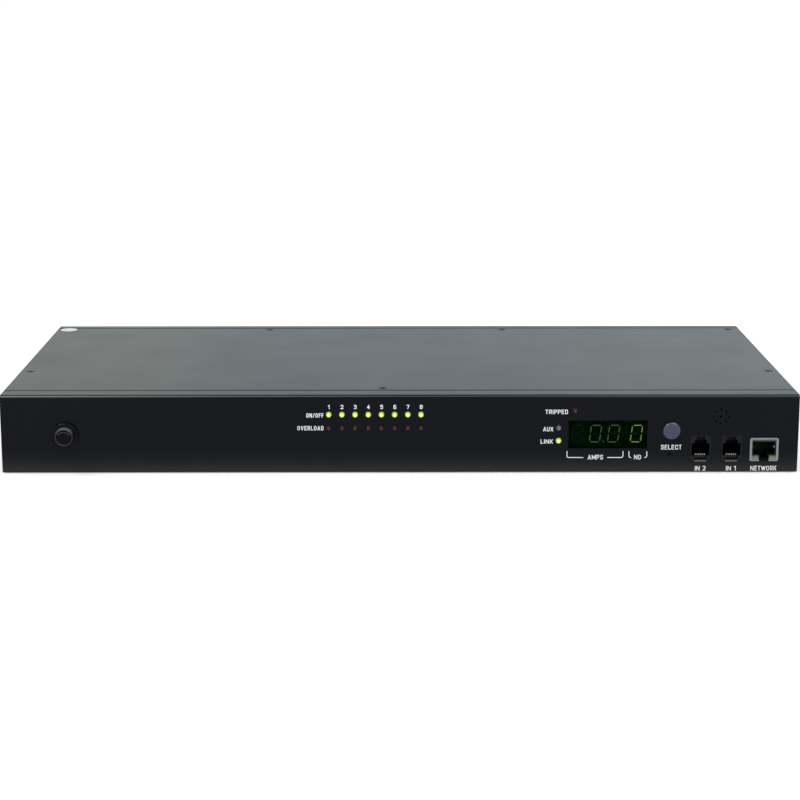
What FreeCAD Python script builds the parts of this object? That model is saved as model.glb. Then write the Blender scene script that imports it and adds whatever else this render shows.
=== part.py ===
import FreeCAD, Part
import math
import os
import re
import Sketcher

# Rack power distribution unit, one rack unit high, in millimetres.
# X runs to the right as seen from the front, Y from the front to the rear, Z up.
# The origin is the middle of the underside.

# Driving dimensions
sizes = {
    # Case, folded from painted sheet
    "case_width": 440.0,
    "case_depth": 210.0,
    "case_height": 43.8,
    "sheet": 1.2,
    "bend_radius": 0.5,
    "front_strip": 13.4,
    "rear_strip": 9.0,
    "shelf": 10.0,
    "panel_foot": 12.4,
    "lap_gap": 1.6,
    "side_flange": 12.0,
    "fold_gap": 0.2,
    "lid_seam": 0.5,
    # Holes for rack ears in both side walls
    "ear_hole": 4.0,
    "ear_setback": 35.0,
    "ear_pitch": 40.0,
    "ear_height": 12.0,
    "ear_rise": 20.0,
    # Screws of the lid
    "screw_shank": 2.95,
    "screw_head_gap": 0.025,
    "screw_sink": 0.35,
    "screw_length": 6.0,
    "screw_slot": 0.9,
    "screw_slot_length": 2.5,
    "screw_slot_depth": 0.6,
    "thread_room": 0.1,
    "front_screw_place": -9.7,
    "front_screw_setback": 18.5,
    "side_screw_inset": 5.5,
    "side_screw_setback": 65.0,
    "corner_screw_inset": 7.4,
    "rear_screw_setback": 14.5,
    "rear_screw_middle": -8.3,
    "rear_screw_spread": 149.5,
    "sticker_width": 10.6,
    "sticker_thickness": 0.15,
    # Lamps
    "led_width": 3.0,
    "led_tip": 1.6,
    "led_nose": 0.8,
    "led_proud": 1.2,
    "led_length": 5.3,
    "led_room": 0.2,
    "led_leg": 0.5,
    "led_leg_pitch": 2.0,
    "led_first": -39.3,
    "led_pitch": 7.26,
    "outlet_led_height": 33.0,
    "overload_led_height": 25.4,
    "trip_led_shift": 18.4,
    "trip_led_height": 35.1,
    "status_led_gap": 5.4,
    "aux_led_height": 25.4,
    "link_led_height": 18.1,
    # Display
    "window_gap": 13.2,
    "window_height": 21.5,
    "window_left_margin": 0.05,
    "window_right_margin": 0.85,
    "window_air": 1.05,
    "window_border": 1.5,
    "window_thickness": 1.5,
    "digit_room": 10.1,
    "module_rise": 14.0,
    "digit_gap": 2.5,
    "digit_width": 6.2,
    "digit_rise": 10.0,
    "digit_stroke": 0.64,
    "digit_slant": 0.12,
    "digit_split": 0.4,
    "digit_sink": 0.3,
    "point_width": 1.1,
    "point_offset": 4.4,
    # Push button and reset plunger, each over a switch
    "button_gap": 9.6,
    "button_height": 23.8,
    "button_width": 9.6,
    "button_proud": 1.4,
    "button_edge": 0.6,
    "button_collar": 11.6,
    "button_collar_height": 1.2,
    "button_stem": 3.5,
    "button_room": 0.35,
    "switch_width": 12.0,
    "switch_rise": 3.5,
    "switch_bore": 2.1,
    "stem_reach": 0.9,
    "reset_shift": 0.7,
    "reset_height": 10.5,
    "reset_hole": 2.0,
    "reset_width": 2.7,
    "reset_length": 5.0,
    "reset_switch_width": 6.0,
    # Buzzer and its holes
    "buzzer_inset": 43.1,
    "buzzer_height": 31.7,
    "buzzer_width": 12.0,
    "buzzer_gap": 0.3,
    "buzzer_port": 2.2,
    "sound_hole": 1.4,
    "sound_circle": 8.1,
    # Modular sockets
    "jack_gap": 3.95,
    "jack_network_gap": 3.55,
    "jack_hole_width": 11.8,
    "jack_hole_rise": 15.3,
    "jack_hole_height": 5.9,
    "jack_nose_gap": 0.15,
    "jack_proud": 0.2,
    "jack_width": 13.2,
    "jack_depth": 16.5,
    "jack_mouth_width": 10.0,
    "jack_mouth_rise": 7.0,
    "jack_sill": 3.8,
    "jack_mouth_depth": 12.5,
    "jack_step_width": 6.8,
    "jack_step_rise": 1.9,
    "jack_notch_width": 4.8,
    "jack_notch_rise": 1.9,
    "jack_channel_width": 6.6,
    "jack_channel_rise": 2.4,
    "jack_channel_depth": 2.0,
    # Network socket
    "network_inset": 18.7,
    "network_height": 6.5,
    "network_width": 15.8,
    "network_rise": 13.15,
    "network_depth": 21.0,
    "network_proud": 0.3,
    "network_corner": 1.0,
    "network_room": 0.2,
    "shield_wall": 0.3,
    "shield_leg": 3.0,
    "network_recess": 0.3,
    "network_mouth_width": 12.0,
    "network_mouth_rise": 8.05,
    "network_mouth_drop": 1.3,
    "network_mouth_depth": 14.0,
    "network_notch_width": 5.2,
    "shield_notch_depth": 6.0,
    "lamp_width": 4.1,
    "lamp_rise": 2.3,
    "lamp_inset": 0.6,
    "lamp_depth": 1.0,
    # Breaker
    "breaker_inset": 35.4,
    "breaker_drop": 0.3,
    "breaker_width": 14.4,
    "breaker_rise": 33.5,
    "breaker_depth": 32.0,
    "bushing_width": 10.3,
    "bushing_reach": 5.4,
    "bushing_room": 0.3,
    "bushing_bore_depth": 14.0,
    "nut_width": 14.3,
    "nut_height": 2.6,
    "nut_edge": 0.6,
    "plunger_width": 6.9,
    "plunger_room": 0.4,
    "plunger_proud": 0.9,
    "plunger_edge": 0.7,
    "plunger_length": 12.0,
    "tab_width": 6.3,
    "tab_thickness": 0.8,
    "tab_length": 8.0,
    "breaker_tab_pitch": 16.0,
    # Outlets in the rear panel
    "outlet_row_gap": 20.0,
    "outlet_end_gap": 17.0,
    "bezel_width": 35.0,
    "bezel_rise": 27.2,
    "bezel_thickness": 2.0,
    "bezel_corner": 1.5,
    "outlet_width": 31.0,
    "outlet_rise": 23.2,
    "outlet_depth": 24.0,
    "outlet_room": 0.2,
    "recess_width": 28.2,
    "recess_rise": 20.4,
    "recess_bevel": 6.0,
    "recess_depth": 17.0,
    "core_width": 23.6,
    "core_rise": 15.8,
    "core_bevel": 5.0,
    "core_setback": 0.5,
    "slot_width": 2.4,
    "slot_rise": 4.9,
    "slot_pitch": 14.0,
    "slot_shift": 2.0,
    "slot_depth": 15.0,
    "pin_length": 5.0,
    "pin_width": 0.9,
    "pin_rise": 3.6,
    # Mains inlet
    "inlet_inset": 42.0,
    "inlet_flange_width": 50.0,
    "inlet_flange_rise": 28.0,
    "inlet_flange": 3.0,
    "inlet_flange_corner": 4.0,
    "inlet_screw_pitch": 41.0,
    "inlet_screw_head": 7.0,
    "inlet_screw_shank": 3.9,
    "inlet_screw_length": 9.0,
    "inlet_width": 33.0,
    "inlet_rise": 24.6,
    "inlet_mouth_width": 29.4,
    "inlet_mouth_rise": 21.0,
    "blade_width": 8.0,
    "blade_thickness": 2.0,
    "blade_pitch": 13.0,
    "blade_rise": 8.0,
    "blade_setback": 5.0,
    # Circuit boards
    "board_thickness": 1.6,
    "display_setback": 9.8,
    "display_margin": 8.0,
    "display_lift": 1.2,
    "display_ceiling": 3.3,
    "display_arm_gap": 2.8,
    "display_arm_end": 8.0,
    "display_jack_gap": 2.0,
    "control_rise": 4.1,
    "control_inset": 6.0,
    "control_width": 144.0,
    "control_back": 110.0,
    "control_front_gap": 0.5,
    "control_tongue": 0.5,
    "board_gap": 2.0,
    "chip_width": 14.0,
    "chip_rise": 1.6,
    "chip_setback": 60.0,
    "chip_inset": 90.0,
    "coil_width": 10.0,
    "coil_rise": 8.0,
    "coil_inset": 45.0,
    "coil_setback": 50.0,
    "link_width": 25.0,
    "link_length": 9.0,
    "link_rise": 8.0,
    "relay_board_inset": 12.0,
    "relay_board_thickness": 2.0,
    "relay_board_floor": 3.6,
    "relay_board_ceiling": 5.2,
    "relay_width": 18.0,
    "relay_rise": 24.0,
    "relay_depth": 16.0,
    "terminal_width": 10.0,
    "terminal_depth": 10.0,
    "supply_width": 36.0,
    "supply_rise": 26.0,
    "supply_depth": 22.0,
    "supply_inset": 74.0,
    # Board fasteners
    "post_width": 5.0,
    "post_bore": 3.0,
    "post_bore_depth": 6.0,
    "control_post_width": 6.0,
    "pan_head": 5.4,
    "pan_head_height": 1.6,
    "pan_length": 5.0,
    "control_screw_length": 4.0,
    "board_hole": 3.3,
    "post_low": 10.0,
    "post_drop": 7.3,
    "post_left": -43.5,
    "post_middle": 30.0,
    "post_right_gap": 32.9,
    "post_end_inset": 11.5,
    "control_post_inset": 6.0,
    "control_post_near": 30.0,
    "control_post_end": 8.0,
    # Cables
    "lead_width": 3.4,
    "ribbon_width": 20.0,
    "ribbon_thickness": 1.0,
    "ribbon_bend": 4.0,
    "header_width": 21.0,
    "header_rise": 9.0,
    "header_depth": 9.0,
    "header_setback": 100.0,
    "header_height": 24.0,
}

doc = FreeCAD.newDocument("rack_power_unit")
sheet = doc.addObject("Spreadsheet::Sheet", "dims")
for row, (alias, number) in enumerate(sizes.items(), 1):
    sheet.set(f"A{row}", alias)
    sheet.set(f"B{row}", str(number))
    sheet.setAlias(f"B{row}", alias)
doc.recompute()

nodes = []

# Planes and places that many pieces share, as expressions of the dimensions
FRONT = "(-case_depth / 2)"
REAR = "(case_depth / 2)"
LEFT = "(-case_width / 2)"
RIGHT = "(case_width / 2)"
TOP = "case_height"
SEAT = "(case_height - sheet)"
SHELF_UNDERSIDE = "(case_height - 2 * sheet)"
SIDE_ROOM = "(sheet + bend_radius)"
FLOOR_FRONT = f"({FRONT} + panel_foot + fold_gap)"
FLOOR_REAR = f"({REAR} - panel_foot - fold_gap)"
CONTROL_TOP = "(control_rise + board_thickness)"
CONTROL_RIGHT = f"({RIGHT} - control_inset)"
CONTROL_LEFT = f"({CONTROL_RIGHT} - control_width)"
CONTROL_BACK = f"({FRONT} + control_back)"
SCREW_HEAD = "(screw_shank + 2 * (sheet - screw_head_gap))"
MIDDLE = "(case_height / 2)"
BREAKER_HEIGHT = f"({MIDDLE} - breaker_drop)"
NETWORK = f"({RIGHT} - network_inset)"
JACK_1 = f"({NETWORK} - network_width / 2 - jack_network_gap - jack_width / 2)"
JACK_2 = f"({JACK_1} - jack_width - jack_gap)"
JACKS_LEFT = f"({JACK_2} - jack_width / 2)"
JACK_TOP = "(jack_hole_height + jack_hole_rise)"
BUTTON = f"({JACKS_LEFT} - button_gap)"
RESET = f"({BUTTON} - reset_shift)"
WINDOW_WIDTH = "(4 * digit_room + digit_gap + window_left_margin + window_right_margin)"
WINDOW_RISE = "(module_rise + 2 * window_air)"
WINDOW_RIGHT = f"({BUTTON} - window_gap)"
WINDOW = f"({WINDOW_RIGHT} - {WINDOW_WIDTH} / 2)"
WINDOW_LEFT = f"({WINDOW_RIGHT} - {WINDOW_WIDTH})"
METER = f"({WINDOW_LEFT} + window_left_margin + digit_room * 3 / 2)"
ID = f"({WINDOW_RIGHT} - window_right_margin - digit_room / 2)"
STATUS_COLUMN = f"({WINDOW_LEFT} - status_led_gap)"
INLET = f"({LEFT} + inlet_inset)"
BREAKER = f"({LEFT} + breaker_inset)"
OUTLETS = 8
OUTLET_ROW = f"({INLET} + inlet_flange_width / 2 + outlet_row_gap)"
OUTLET_PITCH = f"(({RIGHT} - outlet_end_gap - {OUTLET_ROW}) / {OUTLETS})"
RELAY_BACK = f"({REAR} - outlet_depth - pin_length)"
RELAY_FACE = f"({RELAY_BACK} - relay_board_thickness)"
WINDOW_BACK = "(sheet + window_thickness)"

LED_COLUMNS = [f"(led_first + {n} * led_pitch)" for n in range(OUTLETS)]
LED_PLACES = {
    **{f"outlet_led_{n}": (place, "outlet_led_height") for n, place in enumerate(LED_COLUMNS, 1)},
    **{f"overload_led_{n}": (place, "overload_led_height") for n, place in enumerate(LED_COLUMNS, 1)},
    "trip_led": (f"({WINDOW} - trip_led_shift)", "trip_led_height"),
    "aux_led": (STATUS_COLUMN, "aux_led_height"),
    "link_led": (STATUS_COLUMN, "link_led_height"),
}
COVER_SCREWS = [
    ("front_screw_place", f"{FRONT} + front_screw_setback"),
    (f"{LEFT} + side_screw_inset", f"{FRONT} + side_screw_setback"),
    (f"{RIGHT} - side_screw_inset", f"{FRONT} + side_screw_setback"),
    (f"{LEFT} + corner_screw_inset", f"{REAR} - rear_screw_setback"),
    (f"{RIGHT} - corner_screw_inset", f"{REAR} - rear_screw_setback"),
    ("rear_screw_middle - rear_screw_spread / 2", f"{REAR} - rear_screw_setback"),
    ("rear_screw_middle + rear_screw_spread / 2", f"{REAR} - rear_screw_setback"),
]
SIDE_SCREWS = COVER_SCREWS[1:3]
REAR_SCREWS = COVER_SCREWS[3:]
PANEL_POSTS = [
    ("post_left", "post_low"),
    ("post_middle", f"{TOP} - post_drop"),
    (f"{WINDOW_LEFT} - post_right_gap", "post_low"),
    (f"{RIGHT} - post_end_inset", f"{TOP} - post_drop"),
]
CONTROL_POSTS = [
    (across, along)
    for across in (f"{CONTROL_RIGHT} - control_post_inset", f"{CONTROL_LEFT} + control_post_inset")
    for along in (f"{FRONT} + control_post_near", f"{CONTROL_BACK} - control_post_end")
]
JACK_HEIGHT = "(jack_hole_height + jack_hole_rise / 2)"


# An expression that reads its dimensions from the sheet
def bound(expression):
    def from_sheet(word):
        return f"dims.{word.group()}" if word.group() in sizes else word.group()
    return re.sub(r"[a-z][a-z_]*", from_sheet, expression)


# A dimension as a number
def size(alias):
    return float(sheet.get(alias))


# Outlines are lists of corners, or discs, given as expressions
def rectangle(low_across, low_up, high_across, high_up):
    return [(low_across, low_up), (high_across, low_up), (high_across, high_up), (low_across, high_up)]


def centred(across, up, width, rise):
    return rectangle(f"{across} - {width} / 2", f"{up} - {rise} / 2",
                     f"{across} + {width} / 2", f"{up} + {rise} / 2")


def disc(across, up, width):
    return {"across": across, "up": up, "width": width}


def moved(places, width):
    return [disc(across, up, width) for across, up in places]


# A body that is one piece of the unit, with its own place
def new_body(label, across="0", along="0", up="0"):
    body = doc.addObject("PartDesign::Body", label)
    body.Label = label
    for letter, expression in zip("xyz", (across, along, up)):
        body.setExpression(f"Placement.Base.{letter}", bound(expression))
    nodes.append(body)
    return body


def fix_point(sketch, geometry, point, across, up):
    for kind, expression in (("DistanceX", across), ("DistanceY", up)):
        number = sketch.addConstraint(Sketcher.Constraint(kind, -1, 1, geometry, point, 1.0))
        sketch.setExpression(f"Constraints[{number}]", bound(expression))


# Each corner is held by its two distances from the axes, so the first shape can be any polygon
def draw_polygon(sketch, corners):
    first = sketch.GeometryCount
    count = len(corners)
    ring = [FreeCAD.Vector(math.cos(2 * math.pi * n / count), math.sin(2 * math.pi * n / count), 0)
            for n in range(count)]
    for n in range(count):
        sketch.addGeometry(Part.LineSegment(ring[n], ring[(n + 1) % count]))
    for n, (across, up) in enumerate(corners):
        sketch.addConstraint(Sketcher.Constraint("Coincident", first + n, 2, first + (n + 1) % count, 1))
        fix_point(sketch, first + n, 1, across, up)


def draw_disc(sketch, shape):
    centre = FreeCAD.Vector(0, 0, 0)
    number = sketch.addGeometry(Part.Circle(centre, FreeCAD.Vector(0, 0, 1), 1.0))
    fix_point(sketch, number, 3, shape["across"], shape["up"])
    width = sketch.addConstraint(Sketcher.Constraint("Diameter", number, 2.0))
    sketch.setExpression(f"Constraints[{width}]", bound(shape["width"]))


# The sketch plane across each axis, and which way along that axis the sketch faces
PLANES = {"x": ("YZ_Plane", 1), "y": ("XZ_Plane", -1), "z": ("XY_Plane", 1)}


def new_sketch(body, axis, level, outlines):
    role, facing = PLANES[axis]
    sketch = body.newObject("Sketcher::SketchObject", "outline")
    plane = next(item for item in body.Origin.OriginFeatures if item.Role == role)
    sketch.AttachmentSupport = [(plane, "")]
    sketch.MapMode = "FlatFace"
    sketch.setExpression("AttachmentOffset.Base.z", bound(f"{facing} * ({level})"))
    for outline in outlines:
        if isinstance(outline, dict):
            draw_disc(sketch, outline)
        else:
            draw_polygon(sketch, outline)
    return sketch


# Material from the low plane to the high plane of an axis; a pad grows the way its sketch faces
def add(body, axis, low, high, *outlines):
    pad = body.newObject("PartDesign::Pad", "pad")
    pad.Profile = new_sketch(body, axis, low, outlines)
    pad.Reversed = PLANES[axis][1] < 0
    pad.setExpression("Length", bound(f"({high}) - ({low})"))
    body.Tip = pad
    return pad


# The same for a cut; a pocket sinks against the way its sketch faces
def cut(body, axis, low, high, *outlines):
    pocket = body.newObject("PartDesign::Pocket", "pocket")
    pocket.Profile = new_sketch(body, axis, low, outlines)
    pocket.Reversed = PLANES[axis][1] > 0
    pocket.setExpression("Length", bound(f"({high}) - ({low})"))
    body.Tip = pocket
    return pocket


# A piece turned about its own Y axis, from corners given as radius and place along the axis
def turn(body, profile):
    revolution = body.newObject("PartDesign::Revolution", "turned")
    revolution.Profile = new_sketch(body, "z", "0", [profile])
    revolution.ReferenceAxis = (revolution.Profile[0], ["V_Axis"])
    revolution.Angle = 360
    body.Tip = revolution
    return revolution


# Rounds the edges along one axis that pass through the given places across it
def round_edges(body, axis, places, radius):
    doc.recompute()
    base = body.Tip
    letters = [letter for letter in "xyz" if letter != axis]
    chosen = []
    for number, edge in enumerate(base.Shape.Edges, 1):
        middle = edge.BoundBox.Center
        across = [getattr(middle, letter) for letter in letters]
        straight = all(getattr(edge.BoundBox, f"{letter.upper()}Length") < 1e-4 for letter in letters)
        if straight and any(math.dist(across, place) < 1e-3 for place in places):
            chosen.append(f"Edge{number}")
    fillet = body.newObject("PartDesign::Fillet", "bend")
    fillet.Base = (base, chosen)
    fillet.setExpression("Radius", bound(radius))
    body.Tip = fillet


# Front and rear panel: face, top strip, shelf under the lid and foot, folded from one sheet
def folded_panel(label, face, inward, strip):
    def inside(depth):
        return f"{face} {inward} ({depth})"

    body = new_body(label)
    add(body, "x", LEFT, RIGHT, [
        (face, "0"),
        (face, TOP),
        (inside(strip), TOP),
        (inside(strip), SEAT),
        (inside(f"{strip} + shelf"), SEAT),
        (inside(f"{strip} + shelf"), SHELF_UNDERSIDE),
        (inside(f"{strip} - sheet"), SHELF_UNDERSIDE),
        (inside(f"{strip} - sheet"), SEAT),
        (inside("sheet"), SEAT),
        (inside("sheet"), "sheet"),
        (inside("panel_foot"), "sheet"),
        (inside("panel_foot"), "0"),
    ])
    sign = 1 if inward == "-" else -1
    outer = sign * size("case_depth") / 2
    inner = outer - sign * size("sheet")
    top = size("case_height")
    round_edges(body, "x", [(outer, 0), (outer, top)], "bend_radius + sheet")
    round_edges(body, "x", [(inner, size("sheet")), (inner, top - size("sheet"))], "bend_radius")
    # Shelf and foot pass between the tray's side walls
    room = f"({SIDE_ROOM} + fold_gap)"
    back = inside(f"{strip} + shelf + panel_foot")
    cut(body, "z", "0", SEAT,
        rectangle(LEFT, inside("sheet"), f"{LEFT} + {room}", back),
        rectangle(f"{RIGHT} - {room}", inside("sheet"), RIGHT, back))
    return body


def front_panel():
    body = folded_panel("front_panel", FRONT, "+", "front_strip")
    back = f"{FRONT} + sheet"
    cut(body, "y", FRONT, back, centred(WINDOW, "window_height", WINDOW_WIDTH, WINDOW_RISE))
    cut(body, "y", FRONT, back, *moved(LED_PLACES.values(), "led_width + led_room"))
    cut(body, "y", FRONT, back,
        disc(BUTTON, "button_height", "button_width + 2 * button_room"),
        disc(RESET, "reset_height", "reset_hole"),
        disc(BREAKER, BREAKER_HEIGHT, "bushing_width + bushing_room"))
    cut(body, "y", FRONT, back,
        *[centred(place, JACK_HEIGHT, "jack_hole_width", "jack_hole_rise") for place in (JACK_1, JACK_2)],
        centred(NETWORK, "(network_height + network_rise / 2)",
                "(network_width + network_room)", "(network_rise + network_room)"))
    sound_holes(body, back)
    cut(body, "z", SHELF_UNDERSIDE, SEAT, *moved(COVER_SCREWS[:1], "screw_shank + thread_room"))


# One hole over the middle of the buzzer and a ring of eight around it
def sound_holes(body, back):
    across = f"{RIGHT} - buzzer_inset"
    cut(body, "y", FRONT, back, disc(across, "buzzer_height", "sound_hole"),
        *[disc(f"{across} + sound_circle / 2 * cos({45 * n} deg)",
               f"buzzer_height + sound_circle / 2 * sin({45 * n} deg)", "sound_hole") for n in range(8)])


def rear_panel():
    body = folded_panel("rear_panel", REAR, "-", "rear_strip")
    inner = f"{REAR} - sheet"
    cut(body, "y", inner, REAR, *[
        centred(outlet_place(n), MIDDLE, "(outlet_width + outlet_room)", "(outlet_rise + outlet_room)")
        for n in range(OUTLETS)])
    cut(body, "y", inner, REAR,
        centred(INLET, MIDDLE, "(inlet_width + outlet_room)", "(inlet_rise + outlet_room)"),
        *moved(inlet_screw_places(INLET, MIDDLE), "inlet_screw_shank + thread_room"))
    cut(body, "z", SHELF_UNDERSIDE, SEAT, *moved(REAR_SCREWS, "screw_shank + thread_room"))


def outlet_place(number):
    return f"({OUTLET_ROW} + {number + 0.5} * {OUTLET_PITCH})"


def inlet_screw_places(middle, height):
    return [(f"{middle} - inlet_screw_pitch / 2", height), (f"{middle} + inlet_screw_pitch / 2", height)]


# Floor and side walls folded as one channel, with laps that lie on the panels' feet
def base_tray():
    body = new_body("base_tray")
    start = f"{FRONT} + sheet + fold_gap"
    finish = f"{REAR} - sheet - fold_gap"
    add(body, "y", start, finish, [
        (LEFT, "0"),
        (RIGHT, "0"),
        (RIGHT, SEAT),
        (f"{RIGHT} - side_flange", SEAT),
        (f"{RIGHT} - side_flange", SHELF_UNDERSIDE),
        (f"{RIGHT} - sheet", SHELF_UNDERSIDE),
        (f"{RIGHT} - sheet", "sheet"),
        (f"{LEFT} + sheet", "sheet"),
        (f"{LEFT} + sheet", SHELF_UNDERSIDE),
        (f"{LEFT} + side_flange", SHELF_UNDERSIDE),
        (f"{LEFT} + side_flange", SEAT),
        (LEFT, SEAT),
    ])
    outer = size("case_width") / 2
    inner = outer - size("sheet")
    seat = size("case_height") - size("sheet")
    round_edges(body, "y", [(side * outer, level) for side in (-1, 1) for level in (0, seat)],
                "bend_radius + sheet")
    round_edges(body, "y", [(side * inner, level) for side in (-1, 1)
                            for level in (size("sheet"), seat - size("sheet"))], "bend_radius")
    # The floor and the side flanges stop short of the panels' feet and shelves
    left = f"{LEFT} + {SIDE_ROOM}"
    right = f"{RIGHT} - {SIDE_ROOM}"
    cut(body, "z", "0", "sheet",
        rectangle(left, FRONT, right, FLOOR_FRONT), rectangle(left, FLOOR_REAR, right, REAR))
    shelf_front = f"{FRONT} + front_strip + shelf + fold_gap"
    shelf_rear = f"{REAR} - rear_strip - shelf - fold_gap"
    cut(body, "z", SHELF_UNDERSIDE, SEAT, *[
        rectangle(low, start_place, high, end_place)
        for low, high in ((left, f"{LEFT} + side_flange"), (f"{RIGHT} - side_flange", right))
        for start_place, end_place in ((FRONT, shelf_front), (shelf_rear, REAR))])
    tray_lap(body, FLOOR_FRONT, "-")
    tray_lap(body, FLOOR_REAR, "+")
    cut(body, "x", LEFT, RIGHT, *[
        disc(f"{FRONT} + ear_setback + {column} * ear_pitch", f"ear_height + {level} * ear_rise", "ear_hole")
        for column in (0, 1) for level in (0, 1)])
    cut(body, "z", SHELF_UNDERSIDE, SEAT, *moved(SIDE_SCREWS, "screw_shank + thread_room"))


# The end of the floor steps up by one sheet to lie on a panel's foot
def tray_lap(body, edge, outward):
    inward = "+" if outward == "-" else "-"
    side = f"(case_width / 2 - {SIDE_ROOM} - fold_gap)"
    reach = f"(panel_foot + fold_gap - {SIDE_ROOM} - lap_gap)"
    add(body, "x", f"-{side}", side, [
        (edge, "0"),
        (f"{edge} {inward} sheet", "0"),
        (f"{edge} {inward} sheet", "2 * sheet"),
        (f"{edge} {outward} {reach}", "2 * sheet"),
        (f"{edge} {outward} {reach}", "sheet"),
        (edge, "sheet"),
    ])


def top_cover():
    body = new_body("top_cover")
    add(body, "z", SEAT, TOP, rectangle(
        LEFT, f"{FRONT} + front_strip + lid_seam", RIGHT, f"{REAR} - rear_strip - lid_seam"))
    countersunk(body, "z", TOP, COVER_SCREWS, SCREW_HEAD, "screw_shank")


# Countersunk holes for screws whose heads lie below the outer plane
def countersunk(body, axis, level, places, head, shank):
    sketch = new_sketch(body, axis, level, moved(places, f"{shank} + thread_room"))
    doc.recompute()
    hole = body.newObject("PartDesign::Hole", "countersunk")
    hole.Profile = sketch
    hole.DepthType = "ThroughAll"
    hole.Threaded = False
    hole.HoleCutType = "Countersink"
    hole.HoleCutCustomValues = True
    hole.HoleCutCountersinkAngle = 90
    hole.setExpression("Diameter", bound(f"{shank} + thread_room"))
    hole.setExpression("HoleCutDiameter", bound(head))
    body.Tip = hole


def cover_screws():
    body = new_body("cover_screws")
    neck = f"{TOP} - ({SCREW_HEAD} - screw_shank) / 2"
    face = f"({TOP} - screw_sink)"
    head = add(body, "z", neck, face, *moved(COVER_SCREWS, "screw_shank"))
    head.TaperAngle = 45
    add(body, "z", f"{TOP} - screw_length", neck, *moved(COVER_SCREWS, "screw_shank"))
    slot = f"{face} - screw_slot_depth"
    cut(body, "z", slot, face, *[centred(x, y, "screw_slot_length", "screw_slot") for x, y in COVER_SCREWS])
    cut(body, "z", slot, face, *[centred(x, y, "screw_slot", "screw_slot_length") for x, y in COVER_SCREWS])


def seal_sticker():
    body = new_body("seal_sticker")
    add(body, "z", TOP, f"{TOP} + sticker_thickness", *moved(COVER_SCREWS[3:4], "sticker_width"))


# A lamp stands on its two legs and looks out through the panel
def lamp(label, across, up):
    body = new_body(label, across, FRONT, up)
    back = "led_length - led_proud"
    turn(body, [
        ("0", "-led_proud"),
        ("led_tip / 2", "-led_proud"),
        ("led_width / 2", "led_nose - led_proud"),
        ("led_width / 2", back),
        ("0", back),
    ])
    add(body, "y", back, "display_setback",
        *[centred(f"{side} * led_leg_pitch / 2", "0", "led_leg", "led_leg") for side in (-1, 1)])


def display_window():
    body = new_body("display_window", WINDOW, FRONT, "window_height")
    add(body, "y", "sheet", WINDOW_BACK, centred(
        "0", "0", f"({WINDOW_WIDTH} + 2 * window_border)", f"({WINDOW_RISE} + 2 * window_border)"))


# Seven bars of one digit, leaning to the right
def digit_bars(middle):
    half_width = "(digit_width - digit_stroke) / 2"
    half_rise = "(digit_rise - digit_stroke) / 2"
    tip = "digit_split"
    shoulder = "(digit_split + digit_stroke / 2)"

    def leaning(corners):
        return [(f"{middle} + ({across}) + digit_slant * ({up})", up) for across, up in corners]

    flat = [leaning([
        (f"-{half_width} + {tip}", level),
        (f"-{half_width} + {shoulder}", f"{level} + digit_stroke / 2"),
        (f"{half_width} - {shoulder}", f"{level} + digit_stroke / 2"),
        (f"{half_width} - {tip}", level),
        (f"{half_width} - {shoulder}", f"{level} - digit_stroke / 2"),
        (f"-{half_width} + {shoulder}", f"{level} - digit_stroke / 2"),
    ]) for level in (f"-{half_rise}", "0", half_rise)]
    upright = [leaning([
        (place, f"{foot} + {tip}"),
        (f"{place} + digit_stroke / 2", f"{foot} + {shoulder}"),
        (f"{place} + digit_stroke / 2", f"{foot} + {half_rise} - {shoulder}"),
        (place, f"{foot} + {half_rise} - {tip}"),
        (f"{place} - digit_stroke / 2", f"{foot} + {half_rise} - {shoulder}"),
        (f"{place} - digit_stroke / 2", f"{foot} + {shoulder}"),
    ]) for place in (f"-{half_width}", half_width) for foot in (f"-{half_rise}", "0")]
    return flat + upright


# Display module between the window and the board, with its digits sunk in the face
def display_module(label, across, digits):
    body = new_body(label, across, FRONT, "window_height")
    add(body, "y", WINDOW_BACK, "display_setback",
        centred("0", "0", f"({digits} * digit_room)", "module_rise"))
    sunk = f"{WINDOW_BACK} + digit_sink"
    for number in range(digits):
        middle = f"({number} - ({digits} - 1) / 2) * digit_room"
        cut(body, "y", WINDOW_BACK, sunk, *digit_bars(middle))
        cut(body, "y", WINDOW_BACK, sunk,
            disc(f"{middle} + point_offset", "-(digit_rise - point_width) / 2", "point_width"))


def function_button():
    body = new_body("function_button", BUTTON, FRONT, "button_height")
    collar = "(sheet + button_room)"
    stem_end = "(display_setback - switch_rise + stem_reach)"
    turn(body, [
        ("0", "-button_proud"),
        ("button_width / 2 - button_edge", "-button_proud"),
        ("button_width / 2", "button_edge - button_proud"),
        ("button_width / 2", collar),
        ("button_collar / 2", collar),
        ("button_collar / 2", f"{collar} + button_collar_height"),
        ("button_stem / 2", f"{collar} + button_collar_height"),
        ("button_stem / 2", stem_end),
        ("0", stem_end),
    ])


# A switch on the display board with a bore for what presses it
def switch(label, across, up, width, bore):
    body = new_body(label, across, FRONT, up)
    face = "(display_setback - switch_rise)"
    add(body, "y", face, "display_setback", centred("0", "0", width, width))
    cut(body, "y", face, f"{face} + switch_bore", disc("0", "0", f"{bore} + 2 * button_room"))


def reset_plunger():
    body = new_body("reset_plunger", RESET, FRONT, "reset_height")
    finish = "(display_setback - switch_rise + stem_reach)"
    add(body, "y", f"{finish} - reset_length", finish, disc("0", "0", "reset_width"))


def buzzer():
    body = new_body("buzzer", f"{RIGHT} - buzzer_inset", FRONT, "buzzer_height")
    start = "(sheet + buzzer_gap)"
    add(body, "y", start, "display_setback", disc("0", "0", "buzzer_width"))
    cut(body, "y", start, f"{start} + buzzer_port", disc("0", "0", "buzzer_port"))


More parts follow.
